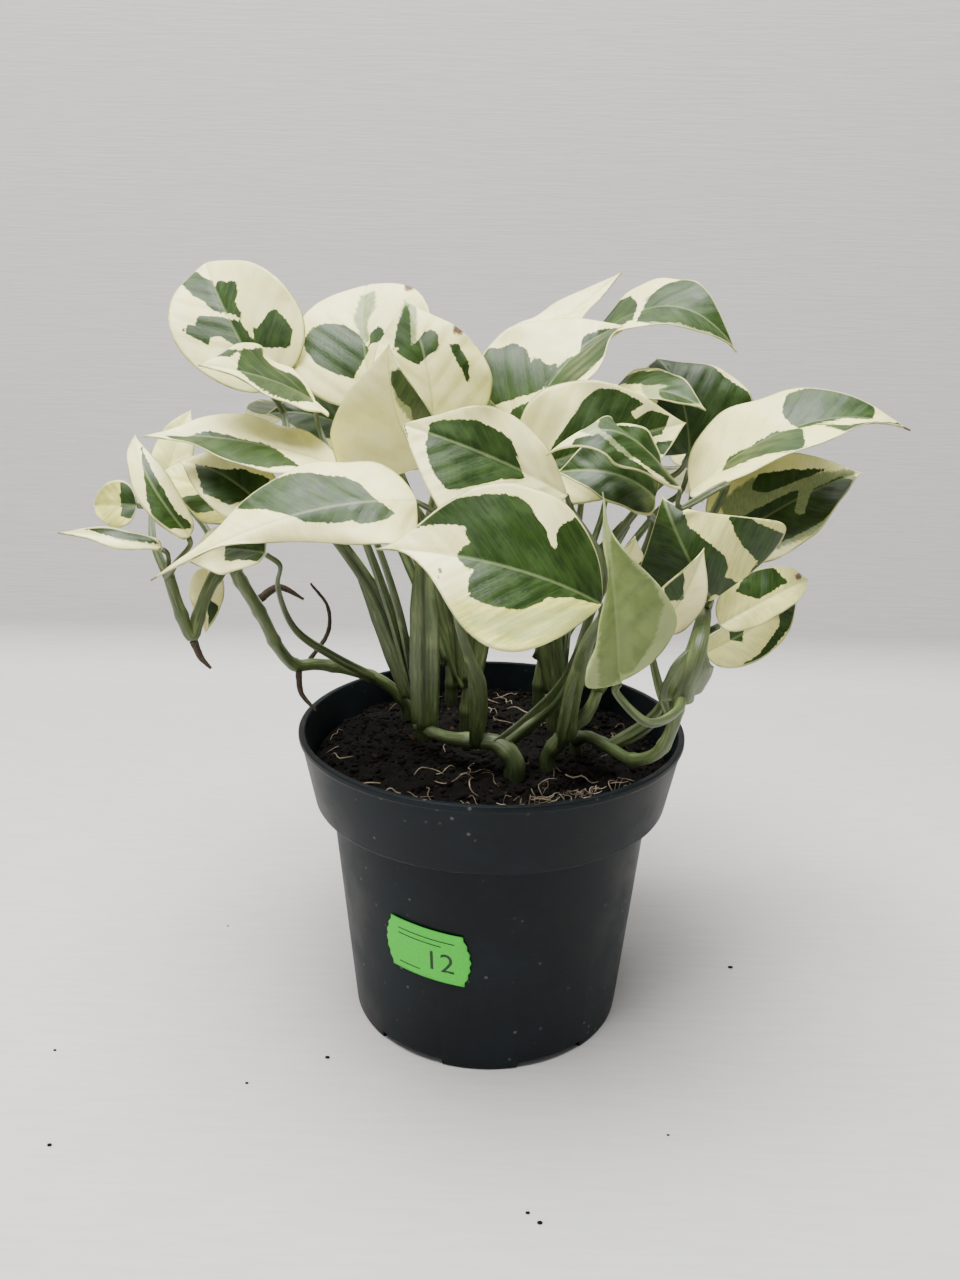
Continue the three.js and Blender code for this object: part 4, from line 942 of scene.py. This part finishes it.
def leaf_piece(leaf, material):
    """A blade with an upper and an under side, its veins raised a little, and its fields of colour"""
    chance = random.Random(leaf["name"])
    small = leaf["width"] < SMALL_BLADE_WIDTH
    rows = BLADE_ROWS // 2 if small else BLADE_ROWS
    columns = BLADE_COLUMNS // 2 if small else BLADE_COLUMNS
    u = 0.5 - 0.5 * np.cos(np.pi * np.arange(1, rows) / rows)
    v = np.linspace(-1, 1, columns + 1)
    grid_u, grid_v = (g.ravel() for g in np.meshgrid(u, v, indexing="ij"))
    grid_u = np.concatenate([[0], grid_u, [1]])
    grid_v = np.concatenate([[0], grid_v, [0]])

    middle = blade_point(leaf, grid_u, grid_v)
    normal = blade_normal(leaf, grid_u, grid_v)
    length = np.linalg.norm(np.array(leaf["tip"], float) - np.array(leaf["base"], float))
    half = half_width(leaf, grid_u, grid_v) * half_outline(leaf, grid_u)
    along = grid_u * length
    across = half * grid_v
    margin = half * (1 - np.abs(grid_v))

    vein = along - VEIN_LEAN * np.abs(across)
    fade = np.clip(half / 8, 0, 1) * np.clip(margin / 3, 0, 1) * np.clip(np.abs(across) / 2, 0, 1)
    calm = CLOSE_LEAVES.get(leaf["name"], 1)
    quilt = QUILT_HEIGHT * np.cos(2 * np.pi * vein / (2 * VEIN_SPACING)) * fade
    quilt = quilt + calm * ruffle(leaf, grid_u, grid_v, chance)
    groove = GROOVE_DEPTH * np.exp(-(across / GROOVE_WIDTH) ** 2)
    keel = calm * KEEL_DEPTH * np.exp(-(across / KEEL_WIDTH) ** 2) * (1 - 0.7 * grid_u)
    thick = BLADE_HALF_THICKNESS * (1 - 0.6 * np.abs(grid_v) ** 8)
    front = middle + normal * (quilt - groove + thick)[:, None]
    back = middle + normal * (quilt - keel - thick)[:, None]

    spots, scale = picture_place(middle)
    if leaf["name"] in GREEN_PATCHES:
        green = outlined_depth(GREEN_PATCHES[leaf["name"]], spots, scale)
    elif leaf["name"].startswith("leaf_back"):
        green = scattered_depth(along, across, length, leaf["width"] / 2, chance)
    else:
        green = np.full(len(spots), FAR_OUTSIDE)
    grey = outlined_depth(GREY_PATCHES.get(leaf["name"], []), spots, scale)
    warmth_and_belly_shade = np.full(len(spots), WARMTH.get(leaf["name"], chance.uniform(0.02, 0.16)))
    # The belly patch raises the warmth past 1, which turns its cream a darker yellow green: partly painted
    # shade
    yellow = outlined_depth(YELLOW_AND_SHADE_PATCHES.get(leaf["name"], []), spots, scale)
    warmth_and_belly_shade = warmth_and_belly_shade + 1.5 * np.clip(yellow / 5 + 0.5, 0, 1)

    count = len(middle)
    wide = columns + 1

    def at(r, c):
        return 1 + r * wide + c

    tip = count - 1
    inner = rows - 1
    faces = []
    for c in range(columns):
        faces.append((0, at(0, c + 1), at(0, c)))
        faces.append((tip, at(inner - 1, c), at(inner - 1, c + 1)))
        for r in range(inner - 1):
            faces.append((at(r, c), at(r, c + 1), at(r + 1, c + 1), at(r + 1, c)))
    rim = [0] + [at(r, 0) for r in range(inner)] + [tip]
    rim += [at(r, columns) for r in reversed(range(inner))]
    backs = [tuple(i + count for i in reversed(f)) for f in faces]
    edges = [(a, b, b + count, a + count) for a, b in zip(rim, rim[1:] + rim[:1])]

    def twice(column):
        return np.concatenate([column, column])

    under = np.repeat([0.0, 1.0], count)
    dry = dried(DRY_SPOTS.get(leaf["name"], []), spots)
    values = {
        "place": np.stack([twice(along), twice(across), twice(margin)], -1),
        "tint": np.stack([twice(green), twice(grey), twice(warmth_and_belly_shade)], -1),
        "state": np.stack([under, twice(dry), under * 0], -1),
        "seed": np.full(2 * count, chance.uniform(0, 90)),
    }
    points = np.concatenate([front, back]) * MM
    piece(leaf["name"] + "_blade", points, faces + backs + edges, material, leaf["name"], "leaf", values)


# Stalks, vines and roots

def smooth_route(points, steps):
    """Places and directions at even steps along a centripetal Catmull-Rom curve through the points"""
    points = [np.array(p, float) for p in points]
    ends = [2 * points[0] - points[1]] + points + [2 * points[-1] - points[-2]]
    dense = []
    for a, b, c, d in zip(ends, ends[1:], ends[2:], ends[3:]):
        gaps = [max(np.linalg.norm(q - p) ** 0.5, 1e-4) for p, q in ((a, b), (b, c), (c, d))]
        before, between, after = gaps
        leave = ((b - a) / before - (c - a) / (before + between) + (c - b) / between) * between
        arrive = ((c - b) / between - (d - b) / (between + after) + (d - c) / after) * between
        t = np.linspace(0, 1, 60, endpoint=False)[:, None]
        square = 3 * (c - b) - 2 * leave - arrive
        cube = 2 * (b - c) + leave + arrive
        curve = b + leave * t + square * t ** 2 + cube * t ** 3
        dense.append(curve)
    dense = np.concatenate(dense + [points[-1][None]])
    run = np.concatenate([[0], np.cumsum(np.linalg.norm(np.diff(dense, axis=0), axis=1))])
    even = np.linspace(0, run[-1], steps + 1)
    places = np.stack([np.interp(even, run, dense[:, k]) for k in range(3)], -1)
    directions = unit(np.gradient(places, axis=0))
    return places, directions, even


def tube(points, radii, sides, steps, facing=None, flat=0.0, groove=0.0, knobs=(), side_shade=0.0):
    """Rings of a closed tube. A groove turns to facing at its last end. A grooved tube carries a
    painted-shade value in its groove, and one with shaded sides carries it along its sides.
    """
    places, directions, run = smooth_route(points, steps)
    shares = np.linspace(0, 1, steps + 1)
    radius = np.interp(shares, np.linspace(0, 1, len(radii)), radii)
    for knob in knobs:
        radius = radius + KNOB_HEIGHT * np.exp(-((run - knob) / KNOB_WIDTH) ** 2)
    over = np.array(facing if facing is not None else (0.3, -0.9, 0.3), float)
    frames = [None] * (steps + 1)
    for i in reversed(range(steps + 1)):
        over = over - directions[i] * (over @ directions[i])
        over = over / np.linalg.norm(over)
        frames[i] = (over, np.cross(directions[i], over))
    turns = np.linspace(0, 2 * np.pi, sides, endpoint=False)
    slit = np.exp(-((np.minimum(turns, 2 * np.pi - turns)) / SLIT_WIDTH) ** 2)
    # Painted shade: a mask that darkens the groove and the tube's two sides, where shade falls between
    # stalks
    dark = np.maximum(slit if groove else 0 * slit, side_shade * np.abs(np.sin(turns)) ** 10)
    rings = []
    values = []
    for i in range(steps + 1):
        top, side = frames[i]
        depth = groove * min(1, shares[i] * 6) * slit
        reach = radius[i] * (1 - depth)
        ring = places[i] + np.outer(reach * np.cos(turns) * (1 - flat), top)
        ring = ring + np.outer(reach * np.sin(turns) * (1 + flat), side)
        rings.append(ring)
        around = np.cos(turns) * 2 + np.sin(turns) * 3
        values.append(np.stack([np.full(sides, run[i]), around, dark * min(1, shares[i] * 6)], -1))
    rings.append(places[[0, -1]])
    values.append(np.array([[0.0, 0, 0], [run[-1], 0, 0]]))
    return np.concatenate(rings), ring_faces(steps + 1, sides), np.concatenate(values)


def gather(parts):
    """Several tubes as one list of points, faces and values"""
    points, faces, values = [], [], []
    shift = 0
    for part_points, part_faces, part_values in parts:
        points.append(part_points)
        values.append(part_values)
        faces.extend(tuple(i + shift for i in f) for f in part_faces)
        shift += len(part_points)
    return np.concatenate(points), faces, np.concatenate(values)


def stalk(leaf, one):
    """A stalk from its vine to its leaf, and the thin winged sheath around its lower part"""
    origin, tangent, normal, _ = (a[0] for a in midrib_frame(leaf, np.array([0.0])))
    end = origin - tangent * STALK_BACK - normal * STALK_UNDER
    approach = min(STALK_APPROACH, leaf["width"] / 5)
    before = end - tangent * approach - normal * approach * STALK_DIP
    route = [one["from"], *one["via"], before, end]
    radius = one.get("radius", min(STALK_RADIUS, STALK_LEAST_RADIUS + leaf["width"] / STALK_SPREAD))
    radii = [radius, radius * 0.85, radius * STALK_SLIM, STALK_TIP_RADIUS]
    steps = 14 + 12 * len(one["via"])
    # The stalk gets painted shade in its groove and along its sides, and the sheath along its sides
    parts = [tube(route, radii, 18, steps, facing=normal, flat=0.12, groove=0.5, side_shade=0.7)]
    if leaf["width"] >= SHEATHED_WIDTH:
        places, _, _ = smooth_route(route, 24)
        reach = SHEATH_REACH[sum(map(ord, leaf["name"])) % len(SHEATH_REACH)]
        wing = [radius * share for share in (1.1, 1.25, 1.15, 0.5)]
        parts.append(tube(places[:reach:3], wing, 14, 20, facing=normal, flat=0.72, side_shade=1.0))
    return parts


def vine(row, material):
    buried = [[*row["hole"], z] for z in BURIED_LEVELS]
    slim = min(row["radius"], SLIM_VINE_RADIUS)
    radii = [row["radius"], (row["radius"] + slim) / 2, slim, VINE_TIP_RADIUS]
    route = buried + row["path"]
    _, _, run = smooth_route(route, 20)
    knobs = np.arange(KNOB_START, run[-1] - 4, KNOB_SPACING)
    parts = [tube(route, radii, 20, 16 + 10 * len(route), knobs=knobs)]
    leaves = {leaf["name"]: leaf for leaf in LEAVES}
    for one in row["stalks"]:
        parts.extend(stalk(leaves[one["leaf"]], one))
    points, faces, values = gather(parts)
    piece(row["name"] + "_skin", points * MM, faces, material, row["name"], "vine", {"place": values})


def root(row, material):
    radii = [row["radius"], row["radius"] * 0.8, ROOT_TIP_RADIUS]
    points, faces, values = tube(row["path"], radii, 14, 60)
    points = points + np.array([ROOT_GNARL * np.array(noise.noise_vector(Vector(p * 0.9))) for p in points])
    piece(row["name"] + "_skin", points * MM, faces, material, row["name"], "root", {"place": values})


# Pot, soil and label

def body_radius(z):
    return BASE_RADIUS + (BODY_TOP_RADIUS - BASE_RADIUS) * z / COLLAR_FOOT


def rounded(corners, radii, steps=5):
    """An outline of (radius, height) corners, each rounded by its own amount"""
    corners = [np.array(c, float) for c in corners]
    outline = [corners[0]]
    for a, b, c, radius in zip(corners, corners[1:], corners[2:], radii):
        before, after = a - b, c - b
        cut_a = min(radius, np.linalg.norm(before) * 0.45)
        cut_c = min(radius, np.linalg.norm(after) * 0.45)
        p = b + unit(before) * cut_a
        q = b + unit(after) * cut_c
        for t in np.linspace(0, 1, steps + 1):
            outline.append((1 - t) ** 2 * p + 2 * t * (1 - t) * b + t ** 2 * q)
    outline.append(corners[-1])
    return np.array(outline)


def lathe(outline, sides):
    """A turned solid whose outline starts and ends on the axis"""
    turns = np.linspace(0, 2 * np.pi, sides, endpoint=False)
    inner = outline[1:-1]
    points = [(r * math.cos(t), r * math.sin(t), z) for r, z in inner for t in turns]
    points += [(0, 0, outline[0][1]), (0, 0, outline[-1][1])]
    return np.array(points), ring_faces(len(inner), sides)


def pot(material):
    corners = [
        (0, 0), (BASE_RADIUS, 0), (body_radius(SHOULDER_START), SHOULDER_START),
        (BODY_TOP_RADIUS + 1, SHOULDER_END), (COLLAR_FOOT_RADIUS, COLLAR_FOOT),
        (COLLAR_TOP_RADIUS, POT_HEIGHT - LIP_HEIGHT), (RIM_RADIUS, POT_HEIGHT - LIP_HEIGHT + 0.4),
        (RIM_RADIUS, POT_HEIGHT), (RIM_RADIUS - WALL - 0.6, POT_HEIGHT),
        (COLLAR_FOOT_RADIUS - WALL, COLLAR_INSIDE_FOOT), (BODY_TOP_RADIUS - WALL, COLLAR_FOOT),
        (BASE_RADIUS - WALL, FLOOR), (0, FLOOR),
    ]
    radii = [0.9, 1.0, 0.8, 1.3, 0.7, 0.5, 0.6, 0.5, 1.0, 0.8, 0.6]
    points, faces = lathe(rounded(corners, radii), POT_SIDES)
    thing = piece("pot_shell", points * MM, faces, material, "pot", "pot")
    for i in range(DRAIN_COUNT):
        first = math.radians(DRAIN_TURN + 360 * i / DRAIN_COUNT)
        turns = first + np.linspace(0, math.radians(DRAIN_SPAN), 13)
        ring = [((BASE_RADIUS + 4) * math.cos(t), (BASE_RADIUS + 4) * math.sin(t)) for t in turns]
        ring += [(math.cos(t) * DRAIN_INNER_RADIUS, math.sin(t) * DRAIN_INNER_RADIUS) for t in turns[::-1]]
        count = len(ring)
        slab = [(x * MM, y * MM, z * MM) for z in (-4, DRAIN_HEIGHT) for x, y in ring]
        sides = [(k, (k + 1) % count, (k + 1) % count + count, k + count) for k in range(count)]
        mesh = bpy.data.meshes.new("slot")
        mesh.from_pydata(slab, [], [tuple(reversed(range(count))), tuple(range(count, 2 * count)), *sides])
        cutter = placed("slot", mesh)
        cut = thing.modifiers.new("slot", "BOOLEAN")
        cut.operation = "DIFFERENCE"
        cut.solver = "EXACT"
        cut.object = cutter
        graph = bpy.context.evaluated_depsgraph_get()
        result = bpy.data.meshes.new_from_object(thing.evaluated_get(graph))
        thing.modifiers.remove(cut)
        thing.data = result
        bpy.data.objects.remove(cutter)
    thing.data.set_sharp_from_angle(angle=math.radians(SHARP_ANGLE))


def soil_level(x, y):
    """Height of the soil's top, heaped in the middle and rough all over"""
    r = math.hypot(x, y)
    share = min(r / SOIL_EDGE_RADIUS, 1)
    heap = SOIL_EDGE_HEIGHT + SOIL_HEAP * (1 - share ** 2)
    broad = noise.fractal(Vector((x * 0.09, y * 0.09, 3.0)), 1.0, 2.0, 3)
    fine = noise.fractal(Vector((x * 0.5, y * 0.5, 9.0)), 1.0, 2.0, 4)
    shoulder = 1.8 * max(0, share - 0.93) / 0.07
    return heap - shoulder + SOIL_ROUGHNESS * (broad * 1.2 + fine * 0.5) * (1 - share ** 12)


def soil(material):
    outline = [(0, 2.65), (42.4, 2.65), (47.5, 71), (SOIL_EDGE_RADIUS - 3.2, 75.5), (SOIL_EDGE_RADIUS, 84)]
    top = [(r, None) for r in np.linspace(SOIL_EDGE_RADIUS, 0, SOIL_RINGS)]
    turns = np.linspace(0, 2 * np.pi, SOIL_SIDES, endpoint=False)
    points = []
    for r, z in outline[1:] + top[:-1]:
        for t in turns:
            x, y = r * math.cos(t), r * math.sin(t)
            points.append((x, y, soil_level(x, y) if z is None else z))
    faces = ring_faces(len(points) // SOIL_SIDES, SOIL_SIDES)
    points += [(0, 0, outline[0][1]), (0, 0, soil_level(0, 0))]
    tones = [0.0] * len(points)

    ball = bmesh.new()
    bmesh.ops.create_icosphere(ball, subdivisions=1, radius=1)
    ball_points = np.array([p.co for p in ball.verts])
    ball_faces = [tuple(p.index for p in f.verts) for f in ball.faces]
    ball.free()
    chance = random.Random(SOIL_SEED)
    for _ in range(CRUMB_COUNT):
        r = (SOIL_EDGE_RADIUS - 0.8) * math.sqrt(chance.random())
        t = chance.uniform(0, 2 * math.pi)
        x, y = r * math.cos(t), r * math.sin(t)
        size = 0.35 + 1.0 * chance.random() ** 3
        stretch = np.array([chance.uniform(0.7, 1.6), chance.uniform(0.6, 1.1), chance.uniform(0.5, 0.9)])
        turn = Matrix.Rotation(chance.uniform(0, 6.3), 3, "Z")
        turn = turn @ Matrix.Rotation(chance.uniform(-0.7, 0.7), 3, "X")
        rough = np.array([chance.uniform(0.78, 1.15) for _ in ball_points])[:, None]
        crumb = (ball_points * rough * stretch * size) @ np.array(turn).T
        shift = len(points)
        points.extend(map(tuple, crumb + np.array([x, y, soil_level(x, y) + size * 0.25])))
        faces.extend(tuple(i + shift for i in f) for f in ball_faces)
        tones.extend([chance.random() ** 2] * len(ball_points))
    piece("soil_peat", np.array(points) * MM, faces, material, "soil", "soil", {"tone": tones})


def fibres(material):
    """Fine dry roots lying on the soil, and some from the soil up to the pot's rim in front"""
    chance = random.Random(FIBRE_SEED)
    parts = []
    for i in range(FIBRE_COUNT):
        r = 52 * math.sqrt(chance.random())
        turn = chance.uniform(0, 2 * math.pi)
        if i % 3 == 0:
            r = chance.uniform(28, 50)
            turn = math.radians(chance.uniform(225, 330))
        x, y = r * math.cos(turn), r * math.sin(turn)
        heading = chance.uniform(0, 2 * math.pi)
        length = chance.uniform(4, 13)
        route = []
        for step in range(5):
            if math.hypot(x, y) > SOIL_EDGE_RADIUS - 1:
                break
            lift = 0.45 + (chance.uniform(0, 1.6) if 0 < step < 4 else 0)
            route.append([x, y, soil_level(x, y) + lift])
            heading += chance.uniform(-0.8, 0.8)
            x += length / 4 * math.cos(heading)
            y += length / 4 * math.sin(heading)
        if len(route) > 2:
            thick = chance.uniform(0.1, 0.24)
            parts.append(tube(route, [thick, thick, thick * 0.5], 4, 9))
    for _ in range(RIM_FIBRE_COUNT):
        turn = math.radians(chance.gauss(293, 9))
        r = chance.uniform(52, 58.4)
        route = []
        heading = chance.uniform(0, 2 * math.pi)
        for step in range(4):
            x, y = r * math.cos(turn), r * math.sin(turn)
            level = soil_level(x, y) + 0.5 if r < SOIL_EDGE_RADIUS - 0.6 else POT_HEIGHT + 0.2
            route.append([x, y, level + chance.uniform(0, 0.7)])
            heading += chance.uniform(-0.9, 0.9)
            r = min(max(r + 1.7 * math.cos(heading), 50), 59.4)
            turn += math.radians(1.7 * math.sin(heading))
        parts.append(tube(route, [0.09, 0.12, 0.06], 4, 8))
    points, faces, values = gather(parts)
    piece("soil_fibres", points * MM, faces, material, None, "soil", {"place": values})


def label_spot(across, up, lift):
    """A place on the pot's body, by millimetres across and up from the label's middle"""
    tilt = math.radians(LABEL_TILT)
    z = LABEL_LEVEL + up * math.cos(tilt) + across * math.sin(tilt)
    radius = body_radius(z) + lift
    turn = math.radians(LABEL_TURN) + across / radius
    return radius * math.sin(turn), -radius * math.cos(turn), z


def label(material):
    rows, columns = LABEL_ROWS, LABEL_COLUMNS
    points = []
    for lift in (LABEL_GAP + LABEL_THICKNESS, LABEL_GAP):
        for r in range(rows + 1):
            t = 2 * r / rows - 1
            half = LABEL_WIDTH / 2 + LABEL_BULGE * math.cos(math.pi / 2 * t)
            half -= LABEL_WAVE * (1 - math.cos(6 * math.pi * t)) / 2
            for c in range(columns + 1):
                points.append(label_spot(half * (2 * c / columns - 1), t * LABEL_HEIGHT / 2, lift))
    wide = columns + 1
    back = (rows + 1) * wide

    def at(r, c):
        return r * wide + c

    faces = []
    for r in range(rows):
        for c in range(columns):
            quad = (at(r, c), at(r, c + 1), at(r + 1, c + 1), at(r + 1, c))
            faces.append(quad)
            faces.append(tuple(i + back for i in reversed(quad)))
    rim = [at(0, c) for c in range(columns)] + [at(r, columns) for r in range(rows)]
    rim += [at(rows, c) for c in reversed(range(1, wide))]
    rim += [at(r, 0) for r in reversed(range(1, rows + 1))]
    faces += [(b, a, a + back, b + back) for a, b in zip(rim, rim[1:] + rim[:1])]
    piece("label_paper", np.array(points) * MM, faces, material, "label", "label")


def label_print(material):
    """A plain number and plain ruled lines"""
    letters = bpy.data.curves.new("number", "FONT")
    letters.body = "12"
    letters.size = NUMBER_SIZE
    holder = placed("number", letters)
    graph = bpy.context.evaluated_depsgraph_get()
    mesh = bpy.data.meshes.new_from_object(holder.evaluated_get(graph))
    bpy.data.objects.remove(holder)
    flat = bmesh.new()
    flat.from_mesh(mesh)
    bmesh.ops.triangulate(flat, faces=flat.faces)
    for low, high, left, right in ((5.4, 5.8, -9, 9), (3.6, 4.0, -9, 5), (-6.6, -6.2, -9, -2)):
        for k in range(12):
            a = left + (right - left) * k / 12
            b = left + (right - left) * (k + 1) / 12
            corners = ((a, low, 1), (b, low, 1), (b, high, 1), (a, high, 1))
            flat.faces.new([flat.verts.new(p) for p in corners])
    bmesh.ops.remove_doubles(flat, verts=flat.verts, dist=0.001)
    flat.verts.index_update()
    points = []
    for vertex in flat.verts:
        x, y, ruled = vertex.co
        across, up = (x, y) if ruled > 0.5 else (x - 0.5, y - 5.0)
        points.append(label_spot(across, up, LABEL_GAP + LABEL_THICKNESS + INK_HEIGHT))
    faces = [tuple(p.index for p in f.verts) for f in flat.faces]
    flat.free()
    bpy.data.meshes.remove(mesh)
    piece("label_number", np.array(points) * MM, faces, material, None, "label")


# Floor, light and camera

def studio():
    width, depth, bend, height = 4.0, 0.29, 0.03, 2.4
    profile = [(-2.2, 0)]
    for step in range(13):
        turn = math.pi / 2 * step / 12
        profile.append((depth + bend * math.sin(turn), bend * (1 - math.cos(turn))))
    profile.append((depth + bend, height))
    points = [(x, y, z) for y, z in profile for x in (-width, width)]
    faces = [(2 * i, 2 * i + 1, 2 * i + 3, 2 * i + 2) for i in range(len(profile) - 1)]
    piece("pale_sheet", points, faces, floor_material())

    specks = bmesh.new()
    chance = random.Random(SPECK_SEED)
    for x, y in FLOOR_SPECKS:
        size = chance.uniform(0.3, 0.7) * MM
        spot = Matrix.Translation((x * MM, y * MM, size * 0.6))
        spot = spot @ Matrix.Diagonal((size * 1.6, size, size * 0.7, 1))
        bmesh.ops.create_icosphere(specks, subdivisions=1, radius=1, matrix=spot)
    mesh = bpy.data.meshes.new("floor_specks")
    specks.to_mesh(mesh)
    specks.free()
    mesh.materials.append(soil_material())
    placed("floor_specks", mesh)

    def lamp(name, place, aim, size, power):
        data = bpy.data.lights.new(name, "AREA")
        data.shape = "RECTANGLE"
        data.size, data.size_y = size
        data.energy = power
        thing = placed(name, data)
        turn = (Vector(aim) - Vector(place)).to_track_quat("-Z", "Y")
        thing.matrix_world = Matrix.Translation(place) @ turn.to_matrix().to_4x4()

    lamp("overhead", (-0.18, -0.05, 1.4), (0, 0, 0.1), (1.2, 0.9), 86)
    lamp("window", (-0.7, -1.1, 0.9), (0, 0, 0.12), (0.9, 1.1), 3)
    world = bpy.data.worlds.new("room")
    world.use_nodes = True
    world.node_tree.nodes["Background"].inputs["Color"].default_value = (0.93, 0.96, 1.0, 1)
    world.node_tree.nodes["Background"].inputs["Strength"].default_value = 0.27
    bpy.context.scene.world = world


def camera():
    data = bpy.data.cameras.new("camera")
    data.sensor_fit = "AUTO"
    data.sensor_width = SENSOR
    data.lens = FOCAL * SENSOR / PICTURE_HEIGHT
    data.clip_start = 0.01
    thing = placed("camera", data)
    axes = Matrix([Vector(CAMERA_RIGHT), Vector(CAMERA_UP), Vector(-CAMERA_FORWARD)]).transposed()
    thing.matrix_world = Matrix.Translation(Vector(CAMERA_PLACE) * MM) @ axes.to_4x4()
    bpy.context.scene.camera = thing


camera()
studio()
blade_look = leaf_material()
stalk_look = stalk_material()
root_look = root_material()
pot(pot_material())
soil(soil_material())
fibres(fibre_material())
label(label_material())
label_print(print_material())
for row in VINES:
    vine(row, stalk_look)
noise.seed_set(ROOT_SEED)
for row in ROOTS:
    root(row, root_look)
for row in LEAVES:
    leaf_piece(row, blade_look)
